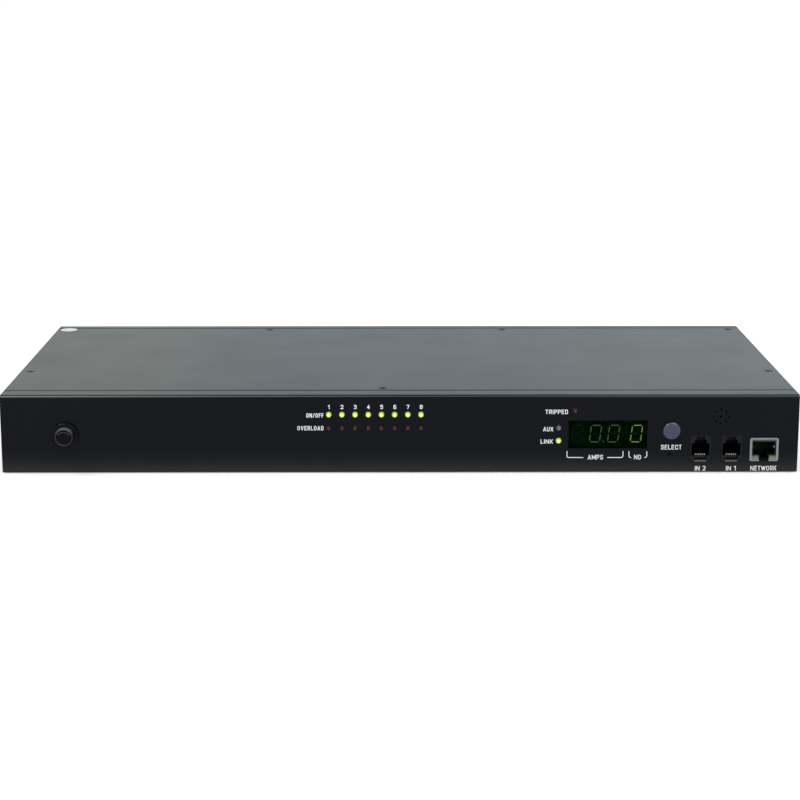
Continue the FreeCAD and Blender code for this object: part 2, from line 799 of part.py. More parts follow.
# Modular socket on the control board; its mouth has the latch's two steps on top and a channel below
def sensor_jack(label, across):
    body = new_body(label, across, FRONT)
    nose = "(2 * jack_nose_gap)"
    add(body, "y", "sheet", "sheet + jack_depth", rectangle(
        "-jack_width / 2", CONTROL_TOP, "jack_width / 2", JACK_TOP))
    add(body, "y", "-jack_proud", "sheet", centred(
        "0", JACK_HEIGHT, f"(jack_hole_width - {nose})", f"(jack_hole_rise - {nose})"))
    sill = "(jack_hole_height + jack_sill)"
    step = f"({sill} + jack_mouth_rise)"
    notch = f"({step} + jack_step_rise)"
    cut(body, "y", "-jack_proud", "jack_mouth_depth", [
        ("-jack_mouth_width / 2", sill),
        ("jack_mouth_width / 2", sill),
        ("jack_mouth_width / 2", step),
        ("jack_step_width / 2", step),
        ("jack_step_width / 2", notch),
        ("jack_notch_width / 2", notch),
        ("jack_notch_width / 2", f"{notch} + jack_notch_rise"),
        ("-jack_notch_width / 2", f"{notch} + jack_notch_rise"),
        ("-jack_notch_width / 2", notch),
        ("-jack_step_width / 2", notch),
        ("-jack_step_width / 2", step),
        ("-jack_mouth_width / 2", step),
    ])
    cut(body, "y", "-jack_proud", "jack_channel_depth", rectangle(
        "-jack_channel_width / 2", f"{sill} - jack_channel_rise", "jack_channel_width / 2", sill))


# The four upright corners of the network socket, taken in by a margin
def network_corners(margin):
    half = size("network_width") / 2 - margin
    low = size("network_height") + margin
    high = size("network_height") + size("network_rise") - margin
    return [(side * half, level) for side in (-1, 1) for level in (low, high)]


# Metal can of the network socket, open at the front and under the latch, on four legs
def network_shield():
    body = new_body("network_shield", NETWORK, FRONT)
    middle = "(network_height + network_rise / 2)"
    add(body, "y", "-network_proud", "network_depth - network_proud",
        centred("0", middle, "network_width", "network_rise"))
    round_edges(body, "y", network_corners(0), "network_corner")
    cut(body, "y", "-network_proud", "network_depth - network_proud - shield_wall",
        centred("0", middle, "(network_width - 2 * shield_wall)", "(network_rise - 2 * shield_wall)"))
    round_edges(body, "y", network_corners(size("shield_wall")), "network_corner - shield_wall")
    cut(body, "y", "-network_proud", "shield_notch_depth", rectangle(
        "-network_notch_width / 2", "network_height",
        "network_notch_width / 2", "network_height + shield_wall"))
    legs = [f"{side} * (network_width - shield_wall) / 2" for side in (-1, 1)]
    for start in ("(network_depth / 3)", "(network_depth * 2 / 3)"):
        add(body, "y", start, f"{start} + shield_leg", *[
            rectangle(f"{leg} - shield_wall / 2", CONTROL_TOP,
                      f"{leg} + shield_wall / 2", "network_height + network_corner")
            for leg in legs])


# Moulded insert with the latch's notch below the mouth and a lamp window on each side of it
def network_jack():
    body = new_body("network_jack", NETWORK, FRONT)
    face = "(network_recess - network_proud)"
    floor = "(network_height + shield_wall)"
    ceiling = "(network_height + network_rise - shield_wall)"
    half = "(network_width / 2 - shield_wall)"
    add(body, "y", face, "network_depth - network_proud - shield_wall",
        rectangle(f"-{half}", floor, half, ceiling))
    round_edges(body, "y", network_corners(size("shield_wall")), "network_corner - shield_wall")
    top = f"({ceiling} - network_mouth_drop)"
    sill = f"({top} - network_mouth_rise)"
    cut(body, "y", face, f"{face} + network_mouth_depth", [
        ("-network_mouth_width / 2", top),
        ("network_mouth_width / 2", top),
        ("network_mouth_width / 2", sill),
        ("network_notch_width / 2", sill),
        ("network_notch_width / 2", "network_height"),
        ("-network_notch_width / 2", "network_height"),
        ("-network_notch_width / 2", sill),
        ("-network_mouth_width / 2", sill),
    ])
    cut(body, "y", face, f"{face} + lamp_depth", *network_lamp_outlines())


def network_lamp_outlines():
    outer = "(network_width / 2 - shield_wall - lamp_inset)"
    low = "(network_height + shield_wall + lamp_inset)"
    return [rectangle(f"-{outer}", low, f"-{outer} + lamp_width", f"{low} + lamp_rise"),
            rectangle(f"{outer} - lamp_width", low, outer, f"{low} + lamp_rise")]


# Two light windows that fill their pockets in the insert
def network_lamps():
    body = new_body("network_lamps", NETWORK, FRONT)
    face = "(network_recess - network_proud)"
    add(body, "y", face, f"{face} + lamp_depth", *network_lamp_outlines())


# Breaker case behind the panel, with its threaded bushing through it and two tabs behind
def breaker_body():
    body = new_body("breaker_body", BREAKER, FRONT, BREAKER_HEIGHT)
    back = "(sheet + breaker_depth)"
    add(body, "y", "sheet", back, centred("0", "0", "breaker_width", "breaker_rise"))
    add(body, "y", "-bushing_reach", "sheet", disc("0", "0", "bushing_width"))
    cut(body, "y", "-bushing_reach", "bushing_bore_depth - bushing_reach",
        disc("0", "0", "plunger_width + 2 * plunger_room"))
    add(body, "y", back, f"{back} + tab_length", *[
        centred("0", f"{side} * breaker_tab_pitch / 2", "tab_width", "tab_thickness") for side in (-1, 1)])


def breaker_nut():
    body = new_body("breaker_nut", BREAKER, FRONT, BREAKER_HEIGHT)
    turn(body, [
        ("bushing_width / 2", "0"),
        ("nut_width / 2", "0"),
        ("nut_width / 2", "nut_edge - nut_height"),
        ("nut_width / 2 - nut_edge", "-nut_height"),
        ("bushing_width / 2", "-nut_height"),
    ])


def breaker_button():
    body = new_body("breaker_button", BREAKER, FRONT, BREAKER_HEIGHT)
    face = "(-bushing_reach - plunger_proud)"
    turn(body, [
        ("0", face),
        ("plunger_width / 2 - plunger_edge", face),
        ("plunger_width / 2", f"{face} + plunger_edge"),
        ("plunger_width / 2", f"{face} + plunger_length"),
        ("0", f"{face} + plunger_length"),
    ])


# A rectangle with its two upper corners cut off, as on appliance couplers
def bevelled(width, rise, bevel):
    return [
        (f"-{width} / 2", f"-{rise} / 2"),
        (f"{width} / 2", f"-{rise} / 2"),
        (f"{width} / 2", f"{rise} / 2 - {bevel}"),
        (f"{width} / 2 - {bevel}", f"{rise} / 2"),
        (f"{bevel} - {width} / 2", f"{rise} / 2"),
        (f"-{width} / 2", f"{rise} / 2 - {bevel}"),
    ]


# A rectangle with all four corners cut off
def eight_sided(width, rise, corner):
    across = f"{width} / 2"
    up = f"{rise} / 2"
    return [
        (f"{corner} - {across}", f"-{up}"),
        (f"{across} - {corner}", f"-{up}"),
        (across, f"{corner} - {up}"),
        (across, f"{up} - {corner}"),
        (f"{across} - {corner}", up),
        (f"{corner} - {across}", up),
        (f"-{across}", f"{up} - {corner}"),
        (f"-{across}", f"{corner} - {up}"),
    ]


# Outlet with a groove round its slotted core; its pins stand on the relay board
def outlet(number):
    body = new_body(f"outlet_{number + 1}", outlet_place(number), REAR, MIDDLE)
    add(body, "y", "-outlet_depth", "0", centred("0", "0", "outlet_width", "outlet_rise"))
    add(body, "y", "0", "bezel_thickness", eight_sided("bezel_width", "bezel_rise", "bezel_corner"))
    floor = "(bezel_thickness - recess_depth)"
    cut(body, "y", floor, "bezel_thickness", bevelled("recess_width", "recess_rise", "recess_bevel"))
    add(body, "y", floor, "bezel_thickness - core_setback", bevelled("core_width", "core_rise", "core_bevel"))
    slots = [("-slot_pitch / 2", "-slot_shift"), ("0", "slot_shift"), ("slot_pitch / 2", "-slot_shift")]
    cut(body, "y", "bezel_thickness - core_setback - slot_depth", "bezel_thickness - core_setback",
        *[centred(across, up, "slot_width", "slot_rise") for across, up in slots])
    add(body, "y", "-outlet_depth - pin_length", "-outlet_depth",
        *[centred(across, up, "pin_width", "pin_rise") for across, up in slots])


# Inlet with three flat blades inside its mouth
def power_inlet():
    body = new_body("power_inlet", INLET, REAR, MIDDLE)
    add(body, "y", "-outlet_depth", "0", centred("0", "0", "inlet_width", "inlet_rise"))
    add(body, "y", "0", "inlet_flange",
        eight_sided("inlet_flange_width", "inlet_flange_rise", "inlet_flange_corner"))
    floor = "(inlet_flange - recess_depth)"
    cut(body, "y", floor, "inlet_flange", centred("0", "0", "inlet_mouth_width", "inlet_mouth_rise"))
    blades = [
        ("-blade_pitch / 2", "-blade_rise / 2"),
        ("blade_pitch / 2", "-blade_rise / 2"),
        ("0", "blade_rise / 2"),
    ]
    add(body, "y", floor, "inlet_flange - blade_setback",
        *[centred(across, up, "blade_width", "blade_thickness") for across, up in blades])
    add(body, "y", "-outlet_depth - pin_length", "-outlet_depth",
        *[centred(across, up, "pin_rise", "pin_width") for across, up in blades])
    places = inlet_screw_places("0", "0")
    cut(body, "y", "0", "inlet_flange", *moved(places, "inlet_screw_shank + thread_room"))
    sink = cut(body, "y", "inlet_flange - (inlet_screw_head - inlet_screw_shank) / 2", "inlet_flange",
               *moved(places, "inlet_screw_shank"))
    sink.TaperAngle = 45


def inlet_screws():
    body = new_body("inlet_screws", INLET, REAR, MIDDLE)
    neck = "inlet_flange - (inlet_screw_head - inlet_screw_shank) / 2"
    places = inlet_screw_places("0", "0")
    head = add(body, "y", neck, "inlet_flange", *moved(places, "inlet_screw_shank"))
    head.TaperAngle = 45
    add(body, "y", "inlet_flange - inlet_screw_length", neck, *moved(places, "inlet_screw_shank"))


# Upright board behind the panel, with an arm over the sockets
def display_board():
    body = new_body("display_board", "0", FRONT, "0")
    left = "led_first - display_margin"
    inner = f"{JACKS_LEFT} - display_jack_gap"
    right = f"{RIGHT} - display_arm_end"
    floor = "2 * sheet + display_lift"
    ceiling = f"{TOP} - display_ceiling"
    arm = f"{JACK_TOP} + display_arm_gap"
    finish = "display_setback + board_thickness"
    add(body, "y", "display_setback", finish, [
        (left, floor),
        (inner, floor),
        (inner, arm),
        (right, arm),
        (right, ceiling),
        (left, ceiling),
    ])
    cut(body, "y", "display_setback", finish, *moved(PANEL_POSTS, "board_hole"))


def panel_standoffs():
    body = new_body("panel_standoffs", "0", FRONT, "0")
    add(body, "y", "sheet", "display_setback", *moved(PANEL_POSTS, "post_width"))
    cut(body, "y", "display_setback - post_bore_depth", "display_setback", *moved(PANEL_POSTS, "post_bore"))


# Level board that carries the sockets, with a tongue beside the display board
def control_board():
    body = new_body("control_board")
    tongue = f"{JACKS_LEFT} - control_tongue"
    front = f"{FRONT} + sheet + control_front_gap"
    behind = f"({FRONT} + display_setback + board_thickness)"
    step = f"{behind} + board_gap"
    add(body, "z", "control_rise", CONTROL_TOP, [
        (tongue, front),
        (CONTROL_RIGHT, front),
        (CONTROL_RIGHT, CONTROL_BACK),
        (CONTROL_LEFT, CONTROL_BACK),
        (CONTROL_LEFT, step),
        (tongue, step),
    ])
    cut(body, "z", "control_rise", CONTROL_TOP, *moved(CONTROL_POSTS, "board_hole"))
    add(body, "z", CONTROL_TOP, f"{CONTROL_TOP} + chip_rise",
        centred(f"{RIGHT} - chip_inset", f"{FRONT} + chip_setback", "chip_width", "chip_width"))
    add(body, "z", CONTROL_TOP, f"{CONTROL_TOP} + coil_rise",
        disc(f"{RIGHT} - coil_inset", f"{FRONT} + coil_setback", "coil_width"))
    add(body, "z", CONTROL_TOP, f"{CONTROL_TOP} + link_rise", rectangle(
        f"{WINDOW} - link_width / 2", behind, f"{WINDOW} + link_width / 2", f"{behind} + link_length"))
    add(body, "z", CONTROL_TOP, f"{CONTROL_TOP} + header_rise", centred(
        header_place(), f"({FRONT} + header_setback)", "header_width", "header_depth"))


# The flat cable runs between the sixth and the seventh relay
def header_place():
    return f"({OUTLET_ROW} + 6 * {OUTLET_PITCH})"


def board_standoffs():
    body = new_body("board_standoffs")
    add(body, "z", "sheet", "control_rise", *moved(CONTROL_POSTS, "control_post_width"))
    cut(body, "z", "sheet", "control_rise", *moved(CONTROL_POSTS, "post_bore"))


def board_screws():
    body = new_body("board_screws")
    back = f"({FRONT} + display_setback + board_thickness)"
    add(body, "y", back, f"{back} + pan_head_height", *moved(PANEL_POSTS, "pan_head"))
    add(body, "y", f"{back} - pan_length", back, *moved(PANEL_POSTS, "post_bore - thread_room"))
    add(body, "z", CONTROL_TOP, f"{CONTROL_TOP} + pan_head_height", *moved(CONTROL_POSTS, "pan_head"))
    add(body, "z", f"{CONTROL_TOP} - control_screw_length", CONTROL_TOP,
        *moved(CONTROL_POSTS, "post_bore - thread_room"))


# Upright board on the pins of the inlet and the outlets, with one relay for each outlet
def relay_board():
    body = new_body("relay_board")
    add(body, "y", RELAY_FACE, RELAY_BACK, rectangle(
        f"{LEFT} + relay_board_inset", "relay_board_floor",
        f"{RIGHT} - relay_board_inset", f"{TOP} - relay_board_ceiling"))
    add(body, "y", f"{RELAY_FACE} - relay_depth", RELAY_FACE, *[
        centred(outlet_place(n), MIDDLE, "relay_width", "relay_rise") for n in range(OUTLETS)])
    add(body, "y", f"{RELAY_FACE} - terminal_depth", RELAY_FACE, *[
        centred(BREAKER, f"({BREAKER_HEIGHT} + {side} * breaker_tab_pitch / 2)",
                "terminal_width", "terminal_width") for side in (-1, 1)])
    add(body, "y", f"{RELAY_FACE} - header_depth", RELAY_FACE, centred(
        header_place(), "header_height", "header_width", "header_rise"))


def power_supply():
    body = new_body("power_supply")
    add(body, "y", f"{RELAY_FACE} - supply_depth", RELAY_FACE, centred(
        f"({LEFT} + supply_inset)", MIDDLE, "supply_width", "supply_rise"))


# Flat cable, level from the relay board and bent down into the control board's header
def ribbon_cable():
    body = new_body("ribbon_cable")
    start = f"{RELAY_FACE} - header_depth"
    near = f"{FRONT} + header_setback - ribbon_thickness / 2"
    far = f"{FRONT} + header_setback + ribbon_thickness / 2"
    low = "header_height - ribbon_thickness / 2"
    high = "header_height + ribbon_thickness / 2"
    foot = f"{CONTROL_TOP} + header_rise"
    side = "ribbon_width / 2"
    add(body, "x", f"{header_place()} - {side}", f"{header_place()} + {side}", [
        (start, low), (start, high), (near, high), (near, foot), (far, foot), (far, low)])
    middle = size("header_setback") - size("case_depth") / 2
    half = size("ribbon_thickness") / 2
    level = size("header_height")
    round_edges(body, "x", [(middle - half, level + half)], "ribbon_bend + ribbon_thickness")
    round_edges(body, "x", [(middle + half, level - half)], "ribbon_bend")


# Two straight wires from the breaker's tabs to their terminals
def breaker_leads():
    body = new_body("breaker_leads", BREAKER, "0", BREAKER_HEIGHT)
    add(body, "y", f"{FRONT} + sheet + breaker_depth + tab_length", f"{RELAY_FACE} - terminal_depth",
        *[disc("0", f"{side} * breaker_tab_pitch / 2", "lead_width") for side in (-1, 1)])


def build():
    front_panel()
    rear_panel()
    base_tray()
    top_cover()
    cover_screws()
    seal_sticker()
    for label, (across, up) in LED_PLACES.items():
        lamp(label, across, up)
    display_window()
    display_module("meter_display", METER, 3)
    display_module("id_display", ID, 1)
    function_button()
    switch("function_switch", BUTTON, "button_height", "switch_width", "button_stem")
    switch("reset_switch", RESET, "reset_height", "reset_switch_width", "reset_width")
    reset_plunger()
    buzzer()
    sensor_jack("sensor_jack_2", JACK_2)
    sensor_jack("sensor_jack_1", JACK_1)
    network_shield()
    network_jack()
    network_lamps()
    breaker_body()
    breaker_nut()
    breaker_button()
    for number in range(OUTLETS):
        outlet(number)
    power_inlet()
    inlet_screws()
    display_board()
    control_board()
    relay_board()
    power_supply()
    panel_standoffs()
    board_standoffs()
    board_screws()
    breaker_leads()
    ribbon_cable()
    doc.recompute()


def write():
    for item in doc.Objects:
        if "Invalid" in item.State or "Error" in item.State:
            raise RuntimeError(f"{item.Name} failed: {item.State}")
    for node in nodes:
        if node.Shape.isNull() or not node.Shape.isValid():
            raise RuntimeError(f"{node.Label} has no sound shape")
    os.makedirs("parts", exist_ok=True)
    for node in nodes:
        node.Shape.exportStep(f"parts/{node.Label}.step")


build()
write()
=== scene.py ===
import math

import bmesh
import bpy
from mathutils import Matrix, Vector


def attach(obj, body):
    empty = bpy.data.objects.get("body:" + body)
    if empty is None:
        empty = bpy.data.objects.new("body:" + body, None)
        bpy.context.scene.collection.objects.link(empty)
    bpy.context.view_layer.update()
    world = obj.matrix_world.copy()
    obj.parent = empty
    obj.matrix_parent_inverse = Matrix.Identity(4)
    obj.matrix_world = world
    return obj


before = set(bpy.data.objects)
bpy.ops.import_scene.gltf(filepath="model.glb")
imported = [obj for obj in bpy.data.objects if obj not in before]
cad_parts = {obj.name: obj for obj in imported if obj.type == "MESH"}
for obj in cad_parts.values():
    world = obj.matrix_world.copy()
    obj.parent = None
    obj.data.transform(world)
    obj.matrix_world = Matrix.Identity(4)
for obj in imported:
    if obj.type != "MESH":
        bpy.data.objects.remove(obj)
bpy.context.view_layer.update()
scene = bpy.context.scene
mm = 0.001
faceY = -0.105  # plane of the front panel
outletCount = 8
networkX = 201.3 * mm  # middle of the network socket
rearRow = 21.9  # height of the inlet and the outlets in mm
print("frame loaded,", len(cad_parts), "nodes")


# Small helpers for node materials

def shaderOf(material):
    return material.node_tree.nodes["Principled BSDF"]


def newMaterial(name):
    material = bpy.data.materials.new(name)
    material.use_nodes = True
    return material, shaderOf(material)


# A new node in the same tree as a node or one of its sockets
def addNode(beside, kind):
    return beside.id_data.nodes.new("ShaderNode" + kind)


# A socket is linked to the input, a number or a colour is written on it
def feed(node, values):
    for name, value in values.items():
        if isinstance(value, bpy.types.NodeSocket):
            node.id_data.links.new(value, node.inputs[name])
        elif isinstance(value, tuple):
            node.inputs[name].default_value = (*value, 1.0)
        else:
            node.inputs[name].default_value = value


def objectSpot(shader):
    return addNode(shader, "TexCoord").outputs["Object"]


def noiseOver(spot, scale, detail=4.0, roughness=0.55):
    noise = addNode(spot, "TexNoise")
    feed(noise, {"Vector": spot, "Scale": scale, "Detail": detail, "Roughness": roughness})
    return noise.outputs["Fac"]


# A new material with a cloudy noise over the place on its object
def cloudyMaterial(name, look):
    material, shader = newMaterial(name)
    spot = objectSpot(shader)
    return material, shader, spot, noiseOver(spot, look["cloudScale"])


def spread(value, fromLow, fromHigh, toLow=0.0, toHigh=1.0):
    span = addNode(value, "MapRange")
    feed(span, {"Value": value, "From Min": fromLow, "From Max": fromHigh, "To Min": toLow,
                "To Max": toHigh})
    return span.outputs["Result"]


def colourBetween(value, stops):
    ramp = addNode(value, "ValToRGB")
    while len(ramp.color_ramp.elements) < len(stops):
        ramp.color_ramp.elements.new(0.5)
    for element, (place, colour) in zip(ramp.color_ramp.elements, stops):
        element.position = place
        element.color = (*colour, 1.0)
    feed(ramp, {"Fac": value})
    return ramp.outputs["Color"]


cloudSpan = (0.3, 0.7)  # a noise has nearly all its values between these


def overCloud(cloud, low, high):
    return spread(cloud, *cloudSpan, low, high)


def cloudTone(cloud, look):
    return colourBetween(cloud, list(zip(cloudSpan, (look["dark"], look["light"]))))


def unevenGloss(cloud, look):
    return overCloud(cloud, look["smooth"], look["rough"])


# Puts a colour over another one by a share from 0 to 1
def colourOver(share, under, over):
    mix = addNode(share, "Mix")
    mix.data_type = "RGBA"
    feed(mix, {0: share, 6: under, 7: over})
    return mix.outputs[2]


def layColour(material, share, colour):
    shader = shaderOf(material)
    under = shader.inputs["Base Color"].links[0].from_socket
    feed(shader, {"Base Color": colourOver(share, under, colour)})


def sumOf(operation, *values):
    node = addNode(values[0], "Math")
    node.operation = operation
    feed(node, dict(enumerate(values)))
    return node.outputs["Value"]


def distanceFrom(value, middle):
    return sumOf("ABSOLUTE", sumOf("SUBTRACT", value, middle))


def axesOf(spot):
    parts = addNode(spot, "SeparateXYZ")
    feed(parts, {"Vector": spot})
    return [parts.outputs[letter] for letter in "XYZ"]


def bumpFrom(shader, height, look):
    bump = addNode(shader, "Bump")
    feed(bump, {"Height": height, "Strength": look["bump"], "Distance": look["bumpDepth"]})
    feed(shader, {"Normal": bump.outputs["Normal"]})


def grainBump(shader, spot, look):
    bumpFrom(shader, noiseOver(spot, look["grainScale"], detail=3.0), look)


# One finish with cloudy colour, uneven gloss and a fine grain; a look names what differs from plain
plainLook = {"grainScale": 5200.0, "bump": 0.1, "bumpDepth": 0.0001, "metal": 0.0, "gloss": 0.5}


def grainedFinish(name, ownLook):
    look = {**plainLook, **ownLook}
    material, shader, spot, cloud = cloudyMaterial(name, look)
    grainBump(shader, spot, look)
    feed(shader, {"Base Color": cloudTone(cloud, look), "Roughness": unevenGloss(cloud, look),
                  "Metallic": look["metal"], "Specular IOR Level": look["gloss"]})
    return material


def dress(material, *names):
    for name in names:
        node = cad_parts[name]
        if not node.material_slots:
            node.data.materials.append(material)
        for place in node.material_slots:
            place.material = material


def numbered(stem):
    return [f"{stem}_{n + 1}" for n in range(outletCount)]


# Small helpers for added pieces

def putPiece(name, builder, material, body="unit", smooth=False):
    mesh = bpy.data.meshes.new(name)
    bmesh.ops.recalc_face_normals(builder, faces=builder.faces)
    builder.normal_update()
    builder.to_mesh(mesh)
    builder.free()
    for face in mesh.polygons:
        face.use_smooth = smooth
    piece = bpy.data.objects.new(name, mesh)
    scene.collection.objects.link(piece)
    mesh.materials.append(material)
    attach(piece, body)


def circle(radius, around):
    turns = [2 * math.pi * n / around for n in range(around)]
    return [(radius * math.cos(turn), radius * math.sin(turn)) for turn in turns]


# Points along a quarter circle from a start in degrees, one way round or the other
def quarterArc(x, z, radius, start, way, steps):
    turns = [math.radians(start + way * 90 * n / steps) for n in range(steps + 1)]
    return [(x + radius * math.cos(turn), z + radius * math.sin(turn)) for turn in turns]


# A block between two corners, with its edges eased
def easedBlock(builder, low, high, ease):
    corners = [builder.verts.new((x, y, z)) for x in (low[0], high[0])
               for y in (low[1], high[1]) for z in (low[2], high[2])]
    rings = [(0, 1, 3, 2), (4, 6, 7, 5), (0, 4, 5, 1), (2, 3, 7, 6), (0, 2, 6, 4), (1, 5, 7, 3)]
    faces = [builder.faces.new([corners[n] for n in ring]) for ring in rings]
    edges = dict.fromkeys(edge for face in faces for edge in face.edges)
    bmesh.ops.bevel(builder, geom=list(edges), offset=ease, segments=2, affect="EDGES", profile=0.6)


def wrapRings(builder, lower, upper):
    for n in range(len(lower)):
        after = (n + 1) % len(lower)
        builder.faces.new([lower[n], lower[after], upper[after], upper[n]])


# Joins rows of corners into a bar, closed on itself or capped at both ends
def joinRows(builder, rows, closed=False):
    for lower, upper in zip(rows, rows[1:] + rows[:1] if closed else rows[1:]):
        wrapRings(builder, lower, upper)
    if not closed:
        builder.faces.new(list(reversed(rows[0])))
        builder.faces.new(rows[-1])


# The way that a line goes at one of its points
def wayAt(points, n, closed=False):
    before, after = n - 1, (n + 1) % len(points)
    if not closed:
        before, after = max(n - 1, 0), min(n + 1, len(points) - 1)
    (startX, startZ), (endX, endZ) = points[before], points[after]
    return Vector((endX - startX, endZ - startZ)).normalized()


# A flat outline in the plane of the panel, with a little thickness towards the viewer
def flatShape(builder, points, back, front):
    joinRows(builder, [[builder.verts.new((x, depth, z)) for x, z in points] for depth in (back, front)])


# A flat strip between two lines of as many points
def flatStrip(builder, first, second, back, front):
    joinRows(builder, [[builder.verts.new((x, depth, z)) for (x, z), depth in
                        ((one, front), (other, front), (other, back), (one, back))]
                       for one, other in zip(first, second)])


# Painted sheet of the case
casePaint = {
    "dark": (0.0006, 0.0008, 0.0030), "light": (0.0010, 0.0013, 0.0038), "cloudScale": 26.0,
    "grainScale": 2600.0, "smooth": 0.28, "rough": 0.32, "bump": 0.05, "bumpDepth": 0.0001, "gloss": 0.092,
    "sheen": 0.075, "sheenTint": (0.3, 0.85, 1.0), "halfWidth": 220.0 * mm,
    # dust and painted light on the lid from left to right, paler at both ends where the lamps light it; and
    # a painted floor reflection, paler towards the foot
    "lidDustAndPaintedLight": [(0.1, (0.019, 0.018, 0.006)), (0.18, (0.014, 0.014, 0.006)), (0.27, (0.002, 0.003, 0.007)),
                (0.62, (0.003, 0.004, 0.012)), (0.85, (0.019, 0.026, 0.026))],
    "topLow": 42.0 * mm, "topHigh": 43.0 * mm,
    "paintedLight": (0.033, 0.033, 0.035), "reflectionRise": 18.0 * mm, "reflectionCurve": 3.2,
    # duller at the lid's seams, beside the front bend and at the foot
    "grime": 0.6, "lidMiddle": 2.2 * mm, "lidHalf": 93.55 * mm, "seamHalf": 1.1 * mm, "seamCore": 0.7 * mm,
    "edgeBack": -102.0 * mm, "edgeFront": -103.0 * mm, "footTop": 2.4 * mm, "footLow": 0.9 * mm,
    # painted highlight along the front bend, brightest at the left and fading to the right
    "bendSum": -61.2 * mm, "bendHalf": 0.75 * mm, "bendCore": 0.35 * mm, "bendBack": -103.8 * mm,
    "paintedBendHighlight": [(0.0, (0.18, 0.19, 0.18)), (0.25, (0.11, 0.115, 0.115)), (0.5, (0.05, 0.052, 0.055)),
               (1.0, (0.058, 0.064, 0.066))],
}


def paintFinish(look):
    material, shader, spot, cloud = cloudyMaterial("blackPaint", look)
    across, along, up = axesOf(spot)
    place = spread(across, -look["halfWidth"], look["halfWidth"])  # from the left side to the right one
    onTop = spread(up, look["topLow"], look["topHigh"])
    # painted floor reflection: the paint is paler towards the foot
    foot = sumOf("POWER", spread(up, look["reflectionRise"], 0.0), look["reflectionCurve"])
    tone = colourOver(foot, cloudTone(cloud, look), look["paintedLight"])
    # dust and painted light on the lid: paler at both ends, as lit by the lamps
    tone = colourOver(onTop, tone, colourBetween(place, look["lidDustAndPaintedLight"]))
    # painted highlight: a pale line along the front bend
    offBend = distanceFrom(sumOf("ADD", along, up), look["bendSum"])
    line = spread(offBend, look["bendHalf"], look["bendCore"])
    onBend = sumOf("MULTIPLY", line, sumOf("LESS_THAN", along, look["bendBack"]))
    tone = colourOver(onBend, tone, colourBetween(place, look["paintedBendHighlight"]))
    offSeam = distanceFrom(distanceFrom(along, look["lidMiddle"]), look["lidHalf"])
    seams = spread(offSeam, look["seamHalf"], look["seamCore"])
    edge = spread(along, look["edgeBack"], look["edgeFront"])
    upper = sumOf("MULTIPLY", sumOf("MAXIMUM", seams, edge), onTop)
    lower = spread(up, look["footTop"], look["footLow"])
    matt = sumOf("MULTIPLY", sumOf("MAXIMUM", upper, lower), look["grime"])
    satin = unevenGloss(cloud, look)
    grainBump(shader, spot, look)
    feed(shader, {"Base Color": tone, "Roughness": sumOf("ADD", satin, matt),
                  "Specular IOR Level": look["gloss"], "Sheen Weight": look["sheen"],
                  "Sheen Tint": look["sheenTint"]})
    return material


dress(paintFinish(casePaint), "front_panel", "rear_panel", "base_tray", "top_cover")

screwFinish = {"dark": (0.0010, 0.0012, 0.0030), "light": (0.0030, 0.0034, 0.0052), "cloudScale": 900.0,
               "smooth": 0.3, "rough": 0.42, "gloss": 0.075}
zincFinish = {"dark": (0.030, 0.031, 0.034), "light": (0.060, 0.061, 0.066), "cloudScale": 900.0,
              "smooth": 0.26, "rough": 0.4, "metal": 1.0}
blackScrew = grainedFinish("blackScrew", screwFinish)
darkZinc = grainedFinish("darkZinc", zincFinish)
dress(blackScrew, "cover_screws")
dress(darkZinc, "inlet_screws")

# Faces of the screws in mm
coverHeads = {"places": [(-9.7, -86.5), (-214.5, -40.0), (214.5, -40.0), (212.6, 90.5), (-83.05, 90.5),
                         (66.45, 90.5)], "up": True, "radius": 2.5, "foot": 2.25, "seat": 43.45,
              "face": 43.73, "ease": 0.08, "arm": 1.25, "armHalf": 0.42, "around": 40}
inletHeads = {"places": [(-198.5, rearRow), (-157.5, rearRow)], "up": False, "radius": 3.2, "foot": 3.45,
              "seat": 108.0, "face": 108.5, "ease": 0.2, "arm": 1.7, "armHalf": 0.5, "around": 40}


# The face of a screw with its cross slot, laid on the head
def crossHeads(name, look, material):
    def spot(place, u, v, level):
        x, other = place[0] + u, place[1] + v
        return Vector((x, other, level) if look["up"] else (x, level, other)) * mm

    arm, half, face, seat, ease = [look[key] for key in ("arm", "armHalf", "face", "seat", "ease")]
    cross = [(arm, half), (half, half), (half, arm)]
    for turn in range(3):
        cross += [(-v, u) for u, v in cross[-3:]]
    outside = [(look["radius"] - ease, face), (look["radius"], face - ease), (look["foot"], seat)]
    walls = [[(circle(radius, look["around"]), level) for radius, level in outside],
             [(cross, face), (cross, seat)]]
    builder = bmesh.new()
    for place in look["places"]:
        edges = []
        for wall in walls:
            rings = [[builder.verts.new(spot(place, u, v, level)) for u, v in ring] for ring, level in wall]
            for upper, lower in zip(rings, rings[1:]):
                wrapRings(builder, lower, upper)
            edges += [builder.edges.get((rings[0][n], rings[0][n - 1])) for n in range(len(rings[0]))]
        bmesh.ops.triangle_fill(builder, edges=edges, use_beauty=True)
    putPiece(name, builder, material)


crossHeads("coverScrewFaces", coverHeads, blackScrew)
crossHeads("inletScrewFaces", inletHeads, darkZinc)

sealFinish = {"dark": (0.60, 0.62, 0.60), "light": (0.68, 0.69, 0.67), "cloudScale": 420.0,
              "smooth": 0.55, "rough": 0.7, "bump": 0.25, "bumpDepth": 0.00006}
dress(grainedFinish("sealPaper", sealFinish), "seal_sticker")
print("case finishes done")

# Moulded plastics
outletFinish = {"dark": (0.009, 0.009, 0.010), "light": (0.015, 0.015, 0.016), "cloudScale": 160.0,
                "grainScale": 3000.0, "smooth": 0.42, "rough": 0.55, "bump": 0.22, "bumpDepth": 0.00012,
                "gloss": 0.25}
dress(grainedFinish("outletPlastic", outletFinish), "power_inlet", *numbered("outlet"))
